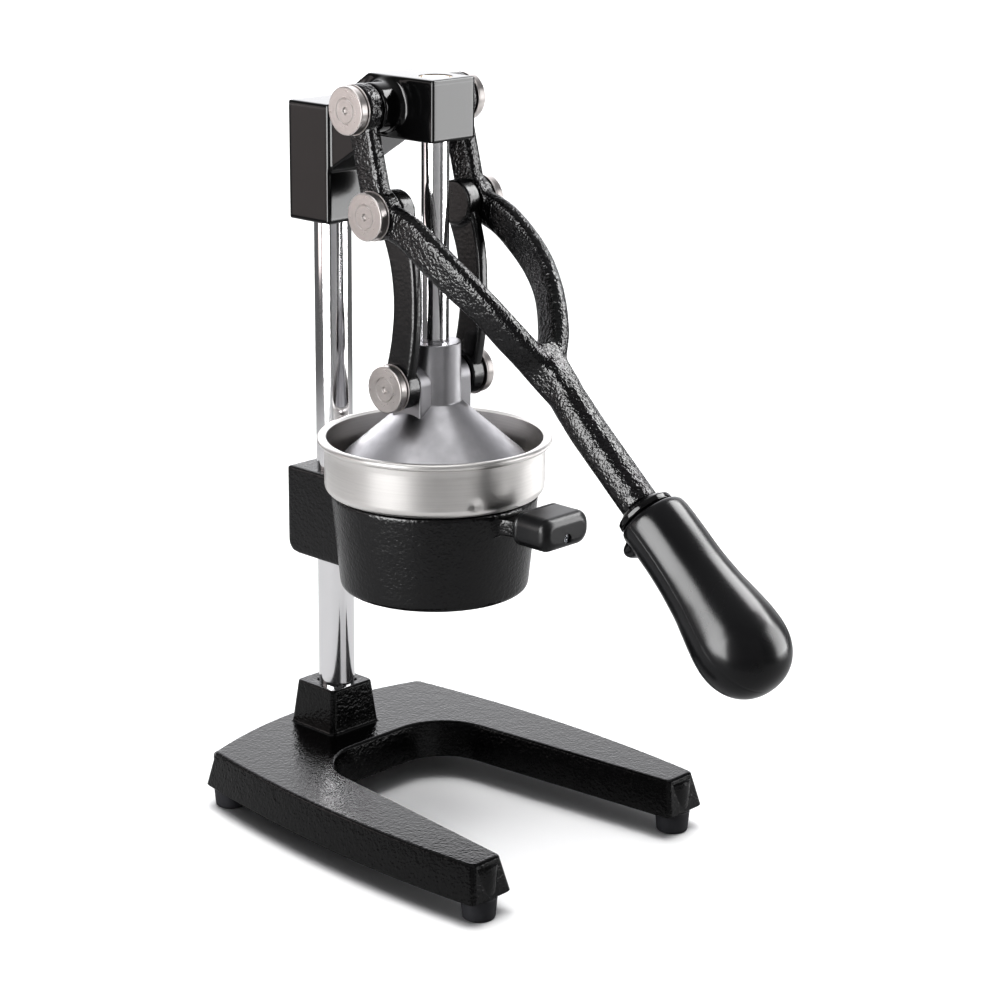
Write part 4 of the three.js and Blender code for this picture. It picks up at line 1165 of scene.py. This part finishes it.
CAMERA_RIGHT = (0.69441, -0.71954, 0.00701)
CAMERA_PLACE = (-945.55, -941.40, 584.56)


def paper(name, tone):
    f = Finish(name, (tone, tone, tone), 0.9, specular=0.1)
    return f.done(f.noise(300), 0.004, 0.02)


def sheet(name, corners, material):
    """A flat sheet that belongs to the stage. Corners are in millimetres from the rod's foot."""
    piece = object_of(name, ([Vector(c) for c in corners], [(0, 1, 2, 3)]))
    piece.data.materials.append(material)
    return piece


def level(reach, z):
    return [(-reach, -reach, z), (reach, -reach, z), (reach, reach, z), (-reach, reach, z)]


def hidden_from(piece, *rays):
    for kind in rays:
        setattr(piece, "visible_" + kind, False)


def floor():
    return sheet("studio_floor", level(FLOOR_REACH, FLOOR_HEIGHT), paper("studio_floor", 0.86))


def painted_shade_sheet():
    """A table top under the press, painted pale near it and dark further out: a painted pool of light that
    fades to painted shade. It is only seen in reflections.
    """
    f = Finish("reflected_table", (0.31, 0.31, 0.31), 0.9, specular=0.1)
    # painted pool of light near the middle, fading to painted shade further out
    near = f.ranged(f.radius(), 1, 0, *TABLE_SHADE_FADE)
    piece = sheet("reflected_table", level(TABLE_REACH, TABLE_HEIGHT), f.done(near, 0.65, 0.02))
    hidden_from(piece, "camera", "diffuse", "shadow")
    return piece


def backdrop():
    """A white wall around the stage. Only the camera sees it."""
    wall = object_of("backdrop", turned([(WALL_NEAR, WALL_BOTTOM), (WALL_NEAR, WALL_TOP),
                                         (WALL_FAR, WALL_TOP), (WALL_FAR, WALL_BOTTOM)]))
    f = Finish("backdrop", (1, 1, 1), 0.9)
    f.surface.inputs["Emission Color"].default_value = (1, 1, 1, 1)
    f.surface.inputs["Emission Strength"].default_value = 1.0
    wall.data.materials.append(f.done(f.noise(300), 0.0, 0.02))
    hidden_from(wall, "diffuse", "glossy", "transmission", "shadow")


def black_card():
    """A dark card beside the lens. It is only seen in reflections, and gives the metal its dark bands."""
    across, away = Vector((0.694, -0.72, 0)), Vector((-0.69, -0.66, 0)) * CARD_DISTANCE
    low_left, low_right = away + across * CARD_FROM, away + across * CARD_TO
    rise = Vector((0, 0, CARD_HEIGHT))
    corners = [low_left, low_right, low_right + rise, low_left + rise]
    hidden_from(sheet("black_card", corners, paper("black_card", 0.2)), "camera", "diffuse", "shadow")


def lights_up(lamp, things, state):
    """Links a lamp to some things only (INCLUDE), or to all but them (EXCLUDE)."""
    listed = bpy.data.collections.new(lamp.name + "_lights")
    lamp.light_linking.receiver_collection = listed
    for thing in things:
        listed.objects.link(thing)
    for entry in listed.collection_objects:
        entry.light_linking.link_state = state


def lamp_of(name, kind, power):
    data = bpy.data.lights.new(name, kind)
    data.energy = power
    return linked(name, data)


def softbox(name, place, aim, size, power, things, state="EXCLUDE", colour=(1, 1, 1)):
    """A soft light. Place and aim are in millimetres from the middle of the stage."""
    lamp = lamp_of(name, "AREA", power)
    lamp.data.shape = "RECTANGLE"
    lamp.data.size, lamp.data.size_y = (s * MM for s in size)
    lamp.data.color = colour
    lamp.location = Vector(place) * MM
    lamp.rotation_mode = "QUATERNION"
    lamp.rotation_quaternion = (Vector(aim) - Vector(place)).to_track_quat("-Z", "Y")
    lamp.visible_camera = False
    lights_up(lamp, things, state)


def overhead(strength, sheets):
    """A wide soft light straight above, which lights the sheets evenly and nothing else."""
    lamp = lamp_of("overhead", "SUN", strength)
    lamp.data.angle = radians(50)
    lights_up(lamp, sheets, "INCLUDE")


def surroundings():
    """A dim room with a bright patch behind the press and a fainter one above it."""
    world = bpy.data.worlds.new("studio_room")
    bpy.context.scene.world = world
    world.use_nodes = True
    tree = world.node_tree
    direction = add_node(tree, "ShaderNodeTexCoord").outputs["Generated"]
    colour = ROOM
    for aim, start, light in ROOM_PATCHES:
        inputs = {0: direction, 1: Vector(aim).normalized()}
        dot = add_node(tree, "ShaderNodeVectorMath", inputs, operation="DOT_PRODUCT")
        inputs = {"Value": dot.outputs["Value"], "From Min": start}
        share = add_node(tree, "ShaderNodeMapRange", inputs, interpolation_type="SMOOTHSTEP")
        inputs = {"Factor": share.outputs["Result"], 6: colour, 7: light}
        colour = add_node(tree, "ShaderNodeMix", inputs, data_type="RGBA").outputs[2]
    tree.links.new(colour, tree.nodes["Background"].inputs["Color"])


def camera():
    data = bpy.data.cameras.new("photo_camera")
    data.lens = LENS
    data.sensor_width = 36
    data.shift_x = LENS_SHIFT
    data.clip_end = 20
    forward = Vector(CAMERA_FORWARD).normalized()
    right = Vector(CAMERA_RIGHT).normalized()
    place = Matrix((right, right.cross(forward), -forward)).transposed().to_4x4()
    place.translation = (Vector(CAMERA_PLACE) + Vector((0, ROD_Y, 0))) * MM
    bpy.context.scene.camera = linked("photo_camera", data, place)


sheets = [floor(), painted_shade_sheet()]
backdrop()
black_card()
surroundings()
camera()
bare_metal = [o for o in bpy.data.objects if o.type == "MESH" and o.data.materials
              and o.data.materials[0] in (TURNED, BRUSHED, ALUMINIUM)]
others = sheets + bare_metal
not_the_base = others + [bpy.data.objects["base_casting_look"]]
softbox("softbox_left", LEFT, (0, 0, 300), (700, 840), 16.6, not_the_base)
softbox("softbox_right_front", RIGHT_FRONT, (0, 0, 330), (560, 680), 7.9, not_the_base)
softbox("softbox_high_right", (700, -270, 950), (0, -100, 260), (540, 540), 7.8, not_the_base)
softbox("panel_right_low", (560, -600, 75), (0, -60, 75), (420, 150), 0.4, others)
softbox("panel_warm", REAR_LEFT, (0, 40, 330), (420, 400), 0.6, others, colour=WARM)
softbox("metal_left", LEFT, (0, 0, 300), (700, 840), 2.9, bare_metal, "INCLUDE")
softbox("metal_right_low", (700, -100, 60), (0, 0, 200), (600, 320), 0.6, bare_metal, "INCLUDE")
softbox("metal_above", (0, 0, 1100), (0, 0, 300), (900, 900), 1.9, bare_metal, "INCLUDE")
softbox("metal_warm", REAR_LEFT, (0, 40, 330), (420, 400), 0.3, bare_metal, "INCLUDE", WARM)
softbox("metal_right", RIGHT_FRONT, (0, 0, 330), (420, 560), 0.9, bare_metal, "INCLUDE")
overhead(2.3, sheets)
view = bpy.context.scene.view_settings
view.view_transform = "Standard"
view.look = "High Contrast"
